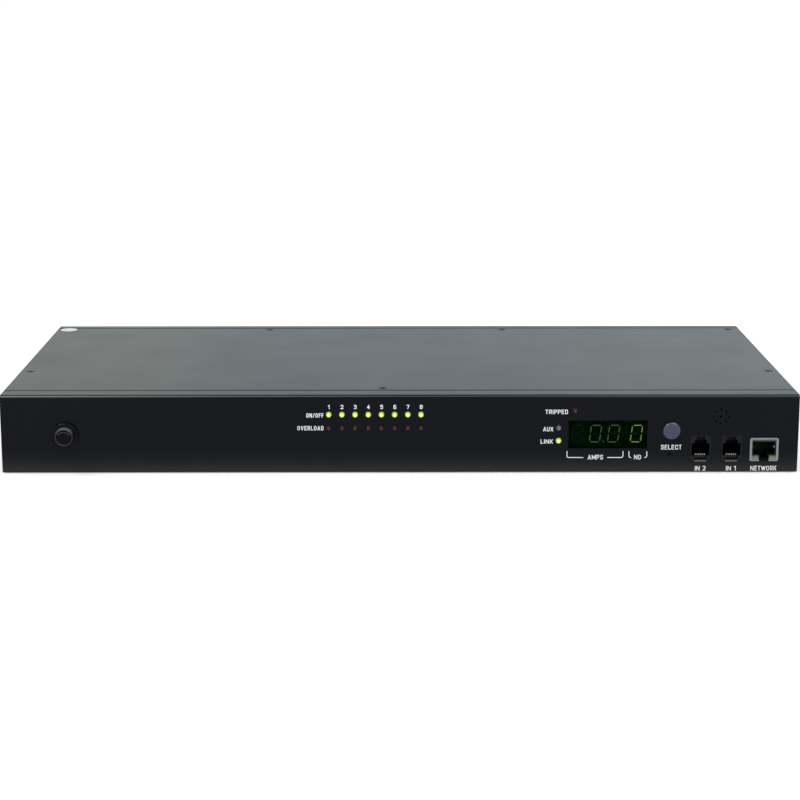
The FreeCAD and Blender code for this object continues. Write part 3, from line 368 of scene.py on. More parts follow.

# the near-black inside of the sensor sockets is painted shade deep in the mouth
socketLook = {"inside": (0.0004, 0.0004, 0.0006), "face": (0.0135, 0.0155, 0.0170), "faceY": -104.9 * mm,
              "insideY": -104.2 * mm, "faceEnd": 0.05, "insideStart": 0.95, "scuff": 0.12,
              "cloudScale": 300.0, "smooth": 0.3, "rough": 0.42, "gloss": 0.05}
networkLook = {**socketLook, "inside": (0.012, 0.018, 0.016)}


# Moulded sockets: the face is scuffed, and deeper in the colour turns to the inside colour, near black in
# the sensor sockets as painted shade
def socketFinish(name, look):
    material, shader, spot, cloud = cloudyMaterial(name, look)
    depth = spread(axesOf(spot)[1], look["faceY"], look["insideY"])
    scuffed = sumOf("ADD", depth, overCloud(cloud, -look["scuff"], look["scuff"]))
    stops = [(look["faceEnd"], look["face"]), (look["insideStart"], look["inside"])]
    feed(shader, {"Base Color": colourBetween(scuffed, stops), "Roughness": unevenGloss(cloud, look),
                  "Specular IOR Level": look["gloss"]})
    return material


networkPlastic = socketFinish("networkPlastic", networkLook)
dress(networkPlastic, "network_jack")
dress(socketFinish("socketPlastic", socketLook), "sensor_jack_1", "sensor_jack_2")

shieldFinish = {"dark": (0.18, 0.185, 0.185), "light": (0.26, 0.265, 0.265), "cloudScale": 700.0,
                "smooth": 0.22, "rough": 0.36, "bump": 0.15, "bumpDepth": 0.00005, "metal": 1.0}
tinnedSteel = grainedFinish("tinnedSteel", shieldFinish)
dress(tinnedSteel, "network_shield", "board_screws")

# the rim band is a painted highlight on the bevel, the edge band painted shade at the outer wall
buttonFinish = {"dark": (0.021, 0.031, 0.070), "light": (0.026, 0.036, 0.078), "cloudScale": 500.0,
                "grainScale": 3600.0, "smooth": 0.24, "rough": 0.3, "bump": 0.05,
                "rim": (0.085, 0.095, 0.13), "rimStart": 4.1 * mm, "rimEnd": 4.35 * mm,
                "edge": (0.004, 0.004, 0.006), "edgeStart": 4.45 * mm, "edgeEnd": 4.65 * mm,
                "middle": (149.9 * mm, 23.8 * mm)}


# The bevel round the button is painted paler as a highlight, and its outer edge is painted dark as shade in
# the gap
def buttonWithPaintedLight(look):
    material = grainedFinish("buttonPlastic", look)
    axes = axesOf(objectSpot(shaderOf(material)))
    sides = [sumOf("POWER", sumOf("SUBTRACT", value, middle), 2.0)
             for value, middle in zip(axes[::2], look["middle"])]
    radius = sumOf("SQRT", sumOf("ADD", *sides))
    for paintedBand in ("rim", "edge"):
        layColour(material, spread(radius, look[paintedBand + "Start"], look[paintedBand + "End"]), look[paintedBand])
    return material


dress(buttonWithPaintedLight(buttonFinish), "function_button")

switchFinish = {"dark": (0.002, 0.002, 0.002), "light": (0.004, 0.004, 0.004), "cloudScale": 400.0,
                "grainScale": 3000.0, "smooth": 0.4, "rough": 0.55, "bump": 0.2, "gloss": 0.1}
dress(grainedFinish("switchPlastic", switchFinish), "function_switch", "reset_switch", "reset_plunger",
      "buzzer", "power_supply")

breakerFinish = {"dark": (0.0026, 0.0030, 0.0044), "light": (0.0048, 0.0054, 0.0072), "cloudScale": 380.0,
                 "grainScale": 3600.0, "smooth": 0.26, "rough": 0.36, "gloss": 0.066}
# the bushing, its lip and the cap are painted paler where they face up: painted highlights
bushingFinish = {"dark": (0.0040, 0.0042, 0.0050), "light": (0.0070, 0.0074, 0.0086), "cloudScale": 700.0,
                 "grainScale": 4200.0, "smooth": 0.3, "rough": 0.4, "bump": 0.12, "gloss": 0.09,
                 "paintedLight": (0.085, 0.088, 0.093), "highlightFrom": 0.2, "highlightTo": 0.75}
capFinish = {"dark": (0.0010, 0.0011, 0.0022), "light": (0.0020, 0.0022, 0.0036), "cloudScale": 380.0,
             "grainScale": 3600.0, "smooth": 0.06, "rough": 0.1, "bump": 0.02, "gloss": 0.068,
             "paintedLight": (0.05, 0.052, 0.058), "highlightFrom": 0.22, "highlightTo": 0.4, "highlightEnd": (0.5, 0.62)}
lipShine = {"dark": (0.0030, 0.0032, 0.0040), "light": (0.0056, 0.0060, 0.0072), "cloudScale": 900.0,
            "grainScale": 4200.0, "smooth": 0.2, "rough": 0.3, "bumpDepth": 0.00006, "gloss": 0.22,
            "paintedLight": (0.085, 0.088, 0.093), "highlightFrom": 0.15, "highlightTo": 0.7}

# Bevelled lip round the end of the breaker's bushing, and the dome of its cap, as radius and depth in mm
bushingLip = {"axis": (-184.6, 21.6), "around": 64, "hollow": True, "profile": [
    (5.13, -109.6), (5.13, -110.45), (5.02, -110.56), (4.32, -111.16), (4.16, -111.22), (4.0, -111.12),
    (3.96, -109.9)]}
capDome = {"axis": (-184.6, 21.6), "around": 64, "hollow": False, "profile": [
    (0.2, -111.86), (1.6, -111.85), (2.66, -111.8), (2.945, -111.76), (3.21, -111.65), (3.438, -111.48),
    (3.613, -111.25), (3.722, -110.98), (3.76, -110.7), (3.76, -109.9)]}


# A painted highlight: paler where the surface faces up, as if lit from above
def paintedHighlightFinish(name, look):
    material = grainedFinish(name, look)
    facing = axesOf(addNode(shaderOf(material), "NewGeometry").outputs["Normal"])[2]
    share = spread(facing, look["highlightFrom"], look["highlightTo"])
    if "highlightEnd" in look:
        share = sumOf("MINIMUM", share, spread(facing, *look["highlightEnd"], 1.0, 0.0))
    layColour(material, share, look["paintedLight"])
    return material


# A turned piece: a ring where its profile is hollow, else closed by a small flat at both ends
def turnedPiece(name, look, material, body):
    builder = bmesh.new()
    x, z = [value * mm for value in look["axis"]]
    rings = [[builder.verts.new((x + u, depth * mm, z + v)) for u, v in circle(radius * mm, look["around"])]
             for radius, depth in look["profile"]]
    joinRows(builder, rings, look["hollow"])
    putPiece(name, builder, material, body, smooth=True)


capPlastic = paintedHighlightFinish("breakerCap", capFinish)
dress(capPlastic, "breaker_button")
dress(grainedFinish("breakerNut", breakerFinish), "breaker_nut")
dress(paintedHighlightFinish("breakerBushing", bushingFinish), "breaker_body")
turnedPiece("bushingRim", bushingLip, paintedHighlightFinish("bushingLip", lipShine), "unit")
turnedPiece("capDome", capDome, capPlastic, "breaker_key")

moduleFinish = {"dark": (0.010, 0.028, 0.021), "light": (0.014, 0.040, 0.030), "cloudScale": 300.0,
                "grainScale": 3000.0, "smooth": 0.5, "rough": 0.6, "gloss": 0.1}
dress(grainedFinish("modulePlastic", moduleFinish), "meter_display", "id_display")
print("plastics done")

# Parts inside the case
brassFinish = {"dark": (0.55, 0.38, 0.14), "light": (0.68, 0.50, 0.22), "cloudScale": 500.0,
               "grainScale": 4000.0, "smooth": 0.22, "rough": 0.4, "bump": 0.15, "metal": 1.0}
dress(grainedFinish("plainBrass", brassFinish), "panel_standoffs", "board_standoffs")

leadFinish = {"dark": (0.07, 0.026, 0.012), "light": (0.11, 0.042, 0.02), "cloudScale": 220.0,
              "grainScale": 2600.0, "smooth": 0.42, "rough": 0.55, "bump": 0.15}
dress(grainedFinish("brownWire", leadFinish), "breaker_leads")

# Green lacquer over copper tracks
boardLook = {"dark": (0.006, 0.05, 0.022), "track": (0.016, 0.11, 0.05), "trackScale": 420.0, "rough": 0.35,
             "bump": 0.2, "bumpDepth": 0.00005}


def boardFinish(look):
    material, shader = newMaterial("boardLacquer")
    tracks = addNode(shader, "TexBrick")
    feed(tracks, {"Vector": objectSpot(shader), "Scale": look["trackScale"], "Color1": look["dark"],
                  "Color2": look["track"], "Mortar": look["track"]})
    bumpFrom(shader, tracks.outputs["Fac"], look)
    feed(shader, {"Base Color": tracks.outputs["Color"], "Roughness": look["rough"]})
    return material


dress(boardFinish(boardLook), "display_board", "control_board", "relay_board")

# Grey flat cable with a groove between every two wires
ribbonLook = {"groove": (0.16, 0.16, 0.165), "wire": (0.36, 0.36, 0.37), "grooveEnd": 0.1, "wireStart": 0.6,
              "pitch": 1.27 * mm, "waveFactor": 20.0, "rough": 0.5, "bump": 0.4, "bumpDepth": 0.0002}


def ribbonFinish(look):
    material, shader = newMaterial("ribbonJacket")
    wires = addNode(shader, "TexWave")
    wires.bands_direction = "X"
    scale = 2 * math.pi / look["pitch"] / look["waveFactor"]  # the pattern has a factor of its own
    feed(wires, {"Vector": objectSpot(shader), "Scale": scale})
    bumpFrom(shader, wires.outputs["Fac"], look)
    stops = [(look["grooveEnd"], look["groove"]), (look["wireStart"], look["wire"])]
    feed(shader, {"Base Color": colourBetween(wires.outputs["Fac"], stops), "Roughness": look["rough"]})
    return material


dress(ribbonFinish(ribbonLook), "ribbon_cable")
print("inner finishes done")

# Lamps: a clear dome over each lamp, brightest on its axis; their places are in mm
lampRow = {"first": -39.3, "pitch": 7.26}
lampColumns = [lampRow["first"] + lampRow["pitch"] * n for n in range(outletCount)]
lampPlaces = {
    "outlet": [(x, 33.0) for x in lampColumns],
    "link": [(87.5, 18.1)],
    "overload": [(x, 25.4) for x in lampColumns],
    "trip": [(96.4, 35.1)],
    "aux": [(87.5, 25.4)],
}
domeLook = {"radius": 1.5 * mm, "height": 1.28 * mm, "seat": 0.25 * mm, "steps": 7, "around": 28,
            "speckScale": 2600.0, "speck": 0.06, "smooth": 0.128, "rough": 0.192}
lensLooks = {
    "green": {"core": (0.60, 0.72, 0.19), "ring": (0.46, 0.58, 0.11), "rim": (0.04, 0.056, 0.004),
              "glow": 0.9, "coreEnd": 0.32, "ringPlace": 0.6, "gloss": 0.2},
    "red": {"core": (0.12, 0.045, 0.058), "ring": (0.036, 0.003, 0.008), "rim": (0.016, 0.0012, 0.0036),
            "glow": 0.0, "coreEnd": 0.12, "ringPlace": 0.5, "gloss": 0.2},
    "clear": {"core": (0.20, 0.20, 0.20), "ring": (0.10, 0.10, 0.10), "rim": (0.04, 0.04, 0.042),
              "glow": 0.0, "coreEnd": 0.15, "ringPlace": 0.6, "gloss": 0.35},
}


# A dome keeps its distance from its own axis as a layer, which its colour follows
def lensFinish(name, look):
    material, shader = newMaterial(name + "Lens")
    layer = addNode(shader, "Attribute")
    layer.attribute_name = "fromAxis"
    speck = noiseOver(objectSpot(shader), domeLook["speckScale"], detail=2.0)
    place = sumOf("ADD", layer.outputs["Fac"], overCloud(speck, -domeLook["speck"], domeLook["speck"]))
    stops = [(look["coreEnd"], look["core"]), (look["ringPlace"], look["ring"]), (1.0, look["rim"])]
    tone = colourBetween(place, stops)
    if look["glow"]:
        feed(shader, {"Emission Color": tone, "Emission Strength": look["glow"]})
    feed(shader, {"Base Color": tone, "Specular IOR Level": look["gloss"],
                  "Roughness": unevenGloss(speck, domeLook)})
    return material


def lampDomes(name, places, material, look):
    builder = bmesh.new()
    layer = builder.verts.layers.float.new("fromAxis")

    def ring(x, z, radius, depth, share):
        verts = [builder.verts.new((x + u, depth, z + v)) for u, v in circle(radius, look["around"])]
        for vert in verts:
            vert[layer] = share
        return verts

    for x, z in [(x * mm, z * mm) for x, z in places]:
        rings = [ring(x, z, look["radius"], faceY, 1.0)]
        for step in range(look["steps"]):
            tilt = 0.5 * math.pi * step / look["steps"]
            depth = faceY - look["seat"] - look["height"] * math.sin(tilt)
            rings.append(ring(x, z, look["radius"] * math.cos(tilt), depth, math.cos(tilt)))
        tip = builder.verts.new((x, faceY - look["seat"] - look["height"], z))
        tip[layer] = 0.0
        for lower, upper in zip(rings, rings[1:]):
            wrapRings(builder, lower, upper)
        for n, vert in enumerate(rings[-1]):
            builder.faces.new([rings[-1][n - 1], vert, tip])
    putPiece(name, builder, material, smooth=True)


lenses = {name: lensFinish(name, look) for name, look in lensLooks.items()}
for rowName, lensName in (("outlet", "green"), ("link", "green"), ("overload", "red"), ("trip", "red"),
                          ("aux", "clear")):
    lampDomes(rowName + "Domes", lampPlaces[rowName], lenses[lensName], domeLook)
dress(lenses["green"], "link_led", *numbered("outlet_led"))
dress(lenses["red"], "trip_led", *numbered("overload_led"))
dress(lenses["clear"], "aux_led")
print("lamps done")

# Display: tinted window and the bars of the digits
windowLook = {"tint": (0.24, 0.50, 0.32), "cloudScale": 240.0, "smooth": 0.01, "rough": 0.02, "ior": 1.005}
digitLook = {"width": 6.14 * mm, "rise": 9.94 * mm, "stroke": 0.5 * mm, "slant": 0.12, "split": 0.55 * mm,
             "back": -102.33 * mm, "front": -102.37 * mm, "z": 21.5 * mm, "point": 0.32 * mm,
             "pointShift": 4.4 * mm, "pointAround": 16}
digitPlaces = [98.0 * mm, 108.1 * mm, 118.2 * mm, 130.8 * mm]
barLook = {"dim": (0.145, 0.155, 0.045), "bright": (0.42, 0.42, 0.12), "off": (0.0060, 0.0135, 0.0062),
           "faint": 0.72, "grainScale": 3200.0, "grainSpan": (0.35, 0.65), "body": (0.0014, 0.0075, 0.0058),
           "rough": 0.4}
filmFinish = {"dark": (0.0018, 0.0088, 0.0052), "light": (0.0024, 0.0122, 0.0074), "cloudScale": 300.0,
              "grainScale": 3000.0, "smooth": 0.5, "rough": 0.6, "bump": 0.05, "gloss": 0.0}
filmLook = {"left": 91.5 * mm, "right": 138.1 * mm, "low": 12.05 * mm, "high": 30.95 * mm,
            "corner": 1.0 * mm, "steps": 4, "back": -102.302 * mm, "front": -102.34 * mm}


def windowFinish(look):
    material, shader = newMaterial("tintedWindow")
    cloud = noiseOver(objectSpot(shader), look["cloudScale"])
    feed(shader, {"Base Color": look["tint"], "Transmission Weight": 1.0, "IOR": look["ior"],
                  "Roughness": unevenGloss(cloud, look)})
    return material


def glowFinish(name, look):
    material, shader = newMaterial(name + "Bars")
    grain = noiseOver(objectSpot(shader), look["grainScale"], detail=2.0)
    faint = tuple(look["faint"] * part for part in look[name])
    glow = colourBetween(grain, list(zip(look["grainSpan"], (faint, look[name]))))
    feed(shader, {"Emission Color": glow, "Emission Strength": 1.0, "Base Color": look["body"],
                  "Roughness": look["rough"], "Specular IOR Level": 0.0})
    return material


# A dark film on the back of the window, behind the bars
def displayFilm(look):
    corner = look["corner"]
    left, right = look["left"] + corner, look["right"] - corner
    low, high = look["low"] + corner, look["high"] - corner
    points = []
    for x, z, start in ((right, high, 0), (left, high, 90), (left, low, 180), (right, low, 270)):
        points += quarterArc(x, z, corner, start, 1, look["steps"])
    builder = bmesh.new()
    flatShape(builder, points, look["back"], look["front"])
    putPiece("displayFilm", builder, grainedFinish("displayFilm", filmFinish))


# One bar with pointed ends
def pointedBar(x, z, reach, half, upright=False):
    outline = [(-reach, 0.0), (half - reach, -half), (reach - half, -half),
               (reach, 0.0), (reach - half, half), (half - reach, half)]
    return [(x - v, z + u) if upright else (x + u, z + v) for u, v in outline]


# The seven bars: three level ones, then the lower and upper pair of upright ones
def digitBars(look):
    halfWidth = (look["width"] - look["stroke"]) / 2
    halfRise = (look["rise"] - look["stroke"]) / 2
    half, tip = look["stroke"] / 2, look["split"]
    bars = {name: pointedBar(0.0, level, halfWidth - tip, half)
            for name, level in (("low", -halfRise), ("middle", 0.0), ("high", halfRise))}
    for side, place in (("Left", -halfWidth), ("Right", halfWidth)):
        for name, level in (("low", -halfRise / 2), ("high", halfRise / 2)):
            bars[name + side] = pointedBar(place, level, halfRise / 2 - tip, half, upright=True)
    return bars


def digitPiece(name, look, wanted, material):
    builder = bmesh.new()
    for middle, barNames, point in wanted:
        shapes = [[(middle + x + look["slant"] * z, look["z"] + z) for x, z in digitBars(look)[barName]]
                  for barName in barNames]
        if point:
            x, z = middle + look["pointShift"], look["z"] - look["pointShift"]
            shapes.append([(x + u, z + v) for u, v in circle(look["point"], look["pointAround"])])
        for shape in shapes:
            flatShape(builder, shape, look["back"], look["front"])
    putPiece(name, builder, material)


dress(windowFinish(windowLook), "display_window")
allBars = ["low", "middle", "high", "lowLeft", "highLeft", "lowRight", "highRight"]
zeroBars = [name for name in allBars if name != "middle"]
dimGlow, brightGlow, paintedGlowUnlit = [glowFinish(name, barLook) for name in ("dim", "bright", "off")]
digitPiece("meterBars", digitLook, [(digitPlaces[1], zeroBars, True), (digitPlaces[2], zeroBars, False)],
           dimGlow)
digitPiece("idBars", digitLook, [(digitPlaces[3], zeroBars, False)], brightGlow)
# the unlit bars glow faintly: a painted glow standing in for the light they reflect
digitPiece("offBars", digitLook, [(digitPlaces[0], allBars, False)]
           + [(place, ["middle"], False) for place in digitPlaces[1:]], paintedGlowUnlit)
displayFilm(filmLook)
print("display done")

# Printing on the panel: plain numbers and words
printLook = {"dark": (0.90, 0.91, 0.94), "light": (0.95, 0.96, 0.98), "cloudScale": 1500.0,
             "smooth": 0.45, "rough": 0.6, "bumpDepth": 0.00004}
inkThickness = 0.03 * mm
printedWords = [
    # words, middle x, middle z, width, height in mm
    ("ON/OFF", -46.9, 32.6, 9.4, 2.45),
    ("OVERLOAD", -49.4, 25.4, 14.4, 2.45),
    ("TRIPPED", 86.2, 34.5, 12.4, 2.45),
    ("AUX", 81.7, 24.7, 5.6, 2.45),
    ("LINK", 81.0, 17.7, 6.8, 2.45),
    ("AMPS", 108.05, 8.75, 8.4, 2.65),
    ("NO", 131.4, 8.75, 3.9, 2.65),
    ("SELECT", 149.9, 14.4, 11.4, 2.65),
    ("IN 2", 166.3, 2.35, 5.9, 2.65),
    ("IN 1", 183.3, 2.35, 5.4, 2.65),
    ("NETWORK", 201.3, 2.35, 14.4, 2.65),
]
numberSize = {"shift": 0.1, "z": 37.35, "width": 1.52, "firstWidth": 0.95, "height": 2.3}
printedNumbers = [(str(n + 1), x + numberSize["shift"], numberSize["z"],
                   numberSize["width" if n else "firstWidth"], numberSize["height"])
                  for n, x in enumerate(lampColumns)]

# Plain capitals and digits in a box one wide and one high: width, straight strokes, round strokes
letterLook = {"stroke": 0.38, "gap": 0.46, "cuts": 2, "layers": 8, "layerStep": 0.004 * mm}
numberLook = {**letterLook, "stroke": 0.39}
stem = [(0, 0), (0, 1)]
bowl = [(0, 1), (0.55, 1), (1, 1), (1, 0.45), (0.55, 0.45), (0, 0.45)]
letterShapes = {
    " ": (0.3, [], []),
    "/": (0.7, [[(0, 0), (1, 1)]], []),
    "A": (1.1, [[(0, 0), (0.5, 1), (1, 0)], [(0.2, 0.3), (0.8, 0.3)]], []),
    "C": (0.95, [], [[(1, 0.76), (1, 1), (0, 1), (0, 0), (1, 0), (1, 0.24)]]),
    "D": (0.95, [stem], [[(0, 1), (0.45, 1), (1, 1), (1, 0), (0.45, 0), (0, 0)]]),
    "E": (0.85, [[(1, 1), (0, 1), (0, 0), (1, 0)], [(0, 0.52), (0.85, 0.52)]], []),
    "F": (0.8, [[(1, 1), (0, 1), (0, 0)], [(0, 0.5), (0.85, 0.5)]], []),
    "I": (0.0, [stem], []),
    "K": (0.95, [stem, [(0, 0.36), (1, 1)], [(0.34, 0.58), (1, 0)]], []),
    "L": (0.8, [[(0, 1), (0, 0), (1, 0)]], []),
    "M": (1.4, [[(0, 0), (0, 1), (0.5, 0.2), (1, 1), (1, 0)]], []),
    "N": (1.15, [[(0, 0), (0, 1), (1, 0), (1, 1)]], []),
    "O": (1.0, [], [[(0, 0.5), (0, 1), (1, 1), (1, 0), (0, 0), (0, 0.5)]]),
    "P": (0.9, [stem], [bowl]),
    "R": (0.95, [stem, [(0.5, 0.45), (1, 0)]], [bowl]),
    "S": (0.95, [], [[(0.97, 0.78), (0.95, 1), (0, 1), (0, 0.56), (1, 0.46), (1, 0), (0.05, 0),
                      (0.03, 0.22)]]),
    "T": (0.9, [[(0, 1), (1, 1)], [(0.5, 1), (0.5, 0)]], []),
    "U": (1.0, [], [[(0, 1), (0, 0.35), (0, 0), (1, 0), (1, 0.35), (1, 1)]]),
    "V": (1.1, [[(0, 1), (0.5, 0), (1, 1)]], []),
    "W": (1.6, [[(0, 1), (0.25, 0), (0.5, 0.9), (0.75, 0), (1, 1)]], []),
    "X": (1.05, [[(0, 0), (1, 1)], [(0, 1), (1, 0)]], []),
    "1": (0.5, [[(0, 0.8), (1, 1), (1, 0)]], []),
    "2": (0.95, [[(0, 0), (1, 0)]],
          [[(0, 0.85), (0, 1), (0.5, 1), (1, 1), (1, 0.6), (0.5, 0.3), (0, 0)]]),
    "3": (0.95, [], [[(0, 0.92), (0, 1), (0.5, 1), (1, 1), (1, 0.54), (0.6, 0.54), (0.3, 0.54)],
                     [(0.3, 0.54), (0.6, 0.54), (1, 0.54), (1, 0), (0.5, 0), (0, 0), (0, 0.08)]]),
    "4": (0.95, [[(0.72, 0), (0.72, 1), (0, 0.3), (1, 0.3)]], []),
    "5": (0.95, [[(0.95, 1), (0.05, 1), (0.05, 0.55)]],
          [[(0.05, 0.58), (0.5, 0.62), (1, 0.62), (1, 0), (0.5, 0), (0, 0), (0, 0.08)]]),
    "6": (0.95, [], [[(0, 0.3), (0, 0.6), (0.5, 0.6), (1, 0.6), (1, 0), (0.5, 0), (0, 0), (0, 0.3)],
                     [(0, 0.3), (0, 0.7), (0, 1), (0.5, 1), (0.9, 1)]]),
    "7": (0.95, [[(0, 1), (1, 1), (0.35, 0)]], []),
    "8": (0.95, [], [[(0.5, 0.53), (0, 0.53), (0, 1), (0.5, 1), (1, 1), (1, 0.53), (0.5, 0.53)],
                     [(0.5, 0.53), (0, 0.53), (0, 0), (0.5, 0), (1, 0), (1, 0.53), (0.5, 0.53)]]),
}


# Cuts the corners of a line smooth and keeps its ends
def cutSmooth(points, cuts):
    for turn in range(cuts):
        inner = []
        for (startX, startZ), (endX, endZ) in zip(points, points[1:]):
            inner += [(startX + share * (endX - startX), startZ + share * (endZ - startZ))
                      for share in (0.25, 0.75)]
        points = [points[0]] + inner + [points[-1]]
    return points


# A flat band of ink along a line in mm; an open end reaches half a stroke further
def inkBand(builder, points, half, front):
    closed = points[0] == points[-1]
    spots = points[:-1] if closed else points
    reaches = {} if closed else {0: -half, len(spots) - 1: half}
    rows = []
    for n, (x, z) in enumerate(spots):
        along = wayAt(spots, n, closed)
        side = Vector((-along.y, along.x)) * half
        reach = reaches.get(n, 0.0)
        x, z = x + along.x * reach, z + along.y * reach
        rows.append([builder.verts.new(((x + way * side.x) * mm, depth, (z + way * side.y) * mm))
                     for way, depth in ((1, front), (-1, front), (-1, faceY), (1, faceY))])
    joinRows(builder, rows, closed)


# The lines of one word round its middle, fitted to its width and height
def wordLines(words, x, z, width, height, look):
    shapes = [letterShapes[letter] for letter in words]
    room = width - len(words) * look["stroke"] - (len(words) - 1) * look["gap"]
    wide = room / sum(shape[0] for shape in shapes)
    tall = height - look["stroke"]
    left = x - width / 2 + look["stroke"] / 2
    lines = []
    for share, straight, curved in shapes:
        pairs = [[start, end] for line in straight for start, end in zip(line, line[1:])]
        for line in pairs + [cutSmooth(line, look["cuts"]) for line in curved]:
            lines.append([(left + u * share * wide, z + (v - 0.5) * tall) for u, v in line])
        left += share * wide + look["stroke"] + look["gap"]
    return lines


def lettering():
    builder = bmesh.new()
    for prints, look in ((printedWords, letterLook), (printedNumbers, numberLook)):
        for words, x, z, width, height in prints:
            for n, line in enumerate(wordLines(words, x, z, width, height, look)):
                lift = n % look["layers"] * look["layerStep"]  # crossing strokes lie over each other
                inkBand(builder, line, look["stroke"] / 2, faceY - inkThickness - lift)
    putPiece("lettering", builder, whiteInk)


# Thin lines that bracket the digits from below; each span has its two sides and the gap for a word, in mm
bracketLook = {"line": 0.42 * mm, "top": 12.1 * mm, "low": 8.55 * mm, "corner": 0.9 * mm, "steps": 6,
               "spans": [(92.3, 101.3, 114.6, 123.3), (126.6, 127.8, 135.1, 136.5)]}


def bracketLines(look):
    builder = bmesh.new()
    half, low, corner, steps = look["line"] / 2, look["low"], look["corner"], look["steps"]
    for left, leftEnd, rightStart, right in [[x * mm for x in span] for span in look["spans"]]:
        for side, end, way, start in ((left, leftEnd, 1, 180), (right, rightStart, -1, 0)):
            lines = [[(side - way * out, look["top"])]
                     + quarterArc(side + way * corner, low + corner, corner + out, start, way, steps)
                     + [(end, low - out)] for out in (half, -half)]
            flatStrip(builder, *lines, faceY, faceY - inkThickness)
    putPiece("bracketLines", builder, whiteInk)


whiteInk = grainedFinish("whiteInk", printLook)
lettering()
bracketLines(bracketLook)
print("printing done")

# Sockets: spring contacts, with the points of their wires as depth and height in mm
goldFinish = {"dark": (0.62, 0.42, 0.13), "light": (0.80, 0.58, 0.24), "cloudScale": 900.0,
              "smooth": 0.18, "rough": 0.3, "bump": 0.08, "bumpDepth": 0.00004, "metal": 1.0}
# painted shade on the contacts below their bend and deeper in
tipFinish = {"dark": (0.37, 0.37, 0.35), "light": (0.50, 0.50, 0.48), "cloudScale": 900.0,
             "smooth": 0.3, "rough": 0.45, "bump": 0.08, "bumpDepth": 0.00004, "metal": 0.15,
             "paintedShade": (0.007, 0.0065, 0.004), "shadeFrom": 9.66 * mm, "shadeTo": 9.8 * mm,
             "deepFrom": -103.3 * mm, "deepTo": -103.5 * mm}
sensorPlaces = {2: 166.1 * mm, 1: 183.25 * mm}
sensorContacts = {"count": 6, "pitch": 1.02 * mm, "wire": 0.46 * mm, "points": [
    (-103.35, 7.45), (-103.55, 9.1), (-103.75, 9.75), (-103.3, 10.15), (-99.0, 12.0), (-95.0, 13.2)]}
networkContacts = {"count": 8, "pitch": 1.02 * mm, "wire": 0.4 * mm, "points": [
    (-101.8, 17.85), (-99.4, 17.6), (-94.4, 15.2), (-91.0, 14.6)]}


# Contacts are bright where the plug rubs over their bend; below it and deeper in they are painted dark as
# shade inside the socket
def contactsShadedInside(look):
    material = grainedFinish("contactTip", look)
    along, up = axesOf(objectSpot(shaderOf(material)))[1:]
    below = spread(up, look["shadeFrom"], look["shadeTo"], 1.0, 0.0)
    deep = spread(along, look["deepTo"], look["deepFrom"])
    layColour(material, sumOf("MAXIMUM", below, deep), look["paintedShade"])
    return material


# A bent spring wire through points of the plane across X, square in section
def springWire(builder, x, wire, points):
    rows = []
    for n, (y, z) in enumerate(points):
        along = wayAt(points, n)
        across = Vector((-along.y, along.x)) * wire / 2
        rows.append([builder.verts.new((x + side * wire / 2, y + up * across.x, z + up * across.y))
                     for side, up in ((-1, -1), (1, -1), (1, 1), (-1, 1))])
    joinRows(builder, rows)


def contactRow(name, look, x, material):
    builder = bmesh.new()
    points = [(y * mm, z * mm) for y, z in look["points"]]
    for n in range(look["count"]):
        springWire(builder, x + (n - (look["count"] - 1) / 2) * look["pitch"], look["wire"], points)
    putPiece(name, builder, material)


goldPlate = grainedFinish("goldPlate", goldFinish)
contactTip = contactsShadedInside(tipFinish)
for number, x in sensorPlaces.items():
    contactRow(f"sensorContacts{number}", sensorContacts, x, contactTip)
contactRow("networkContacts", networkContacts, networkX, goldPlate)

# A stop for the plug's latch closes the top of each sensor socket's mouth, and a pale lip below it is a
# painted highlight along the mouth's lower edge
stopLook = {"half": 2.38 * mm, "low": 18.56 * mm, "high": 20.47 * mm, "front": -104.5 * mm,
            "back": -103.2 * mm, "ease": 0.08 * mm}
stopFinish = {"dark": (0.0034, 0.0038, 0.0046), "light": (0.0050, 0.0056, 0.0066), "cloudScale": 600.0,
              "grainScale": 4200.0, "smooth": 0.35, "rough": 0.5, "bumpDepth": 0.00006, "gloss": 0.03}
# the lip: a pale strip standing in for the highlight on the lower edge of the cutout
lipLook = {"half": 3.3 * mm, "low": 6.15 * mm, "high": 7.2 * mm, "front": -105.35 * mm,
           "back": -105.15 * mm, "ease": 0.12 * mm}
lipHighlightFinish = {"dark": (0.062, 0.074, 0.070), "light": (0.090, 0.104, 0.098), "cloudScale": 900.0,
             "grainScale": 4200.0, "smooth": 0.35, "rough": 0.5, "bumpDepth": 0.00006, "gloss": 0.2}

# The network socket: a folded rim round its can, a step under its upper bar, and a dark sheet in the notch
# as painted shade over the gap
rimLook = {"low": 6.5 * mm, "high": 19.65 * mm, "half": 7.9 * mm, "side": 1.2 * mm, "top": 0.9 * mm,
           "foot": 0.9 * mm, "corner": 1.0 * mm, "inner": 0.35 * mm, "gap": (-2.6 * mm, 2.6 * mm),
           "steps": 6, "back": -105.28 * mm, "front": -105.36 * mm}
stepLook = {"half": 6.45 * mm, "low": 17.7 * mm, "high": 18.75 * mm, "front": -105.12 * mm,
            "back": -104.95 * mm, "ease": 0.06 * mm}
stepFinish = {"dark": (0.060, 0.065, 0.065), "light": (0.082, 0.088, 0.088), "cloudScale": 700.0,
              "smooth": 0.3, "rough": 0.42, "bumpDepth": 0.00005, "gloss": 0.2}
notchShadeLook = {"half": 2.56 * mm, "low": 6.53 * mm, "high": 6.78 * mm, "front": -104.7 * mm,
             "back": -91.2 * mm, "ease": 0.05 * mm}
springLook = {"low": 13.9 * mm, "high": 15.2 * mm, "sheet": 0.16, "path": [
    # distance from the middle of the socket and depth, in mm as the sheet is
    (5.92, -104.7), (5.2, -103.9), (5.05, -103.2), (5.3, -102.2), (5.92, -100.8)]}


# Bars across a socket, one at each place
def socketBars(name, look, places, material):
    builder = bmesh.new()
    for x in places:
        easedBlock(builder, (x - look["half"], look["front"], look["low"]),
                   (x + look["half"], look["back"], look["high"]), look["ease"])
    putPiece(name, builder, material)


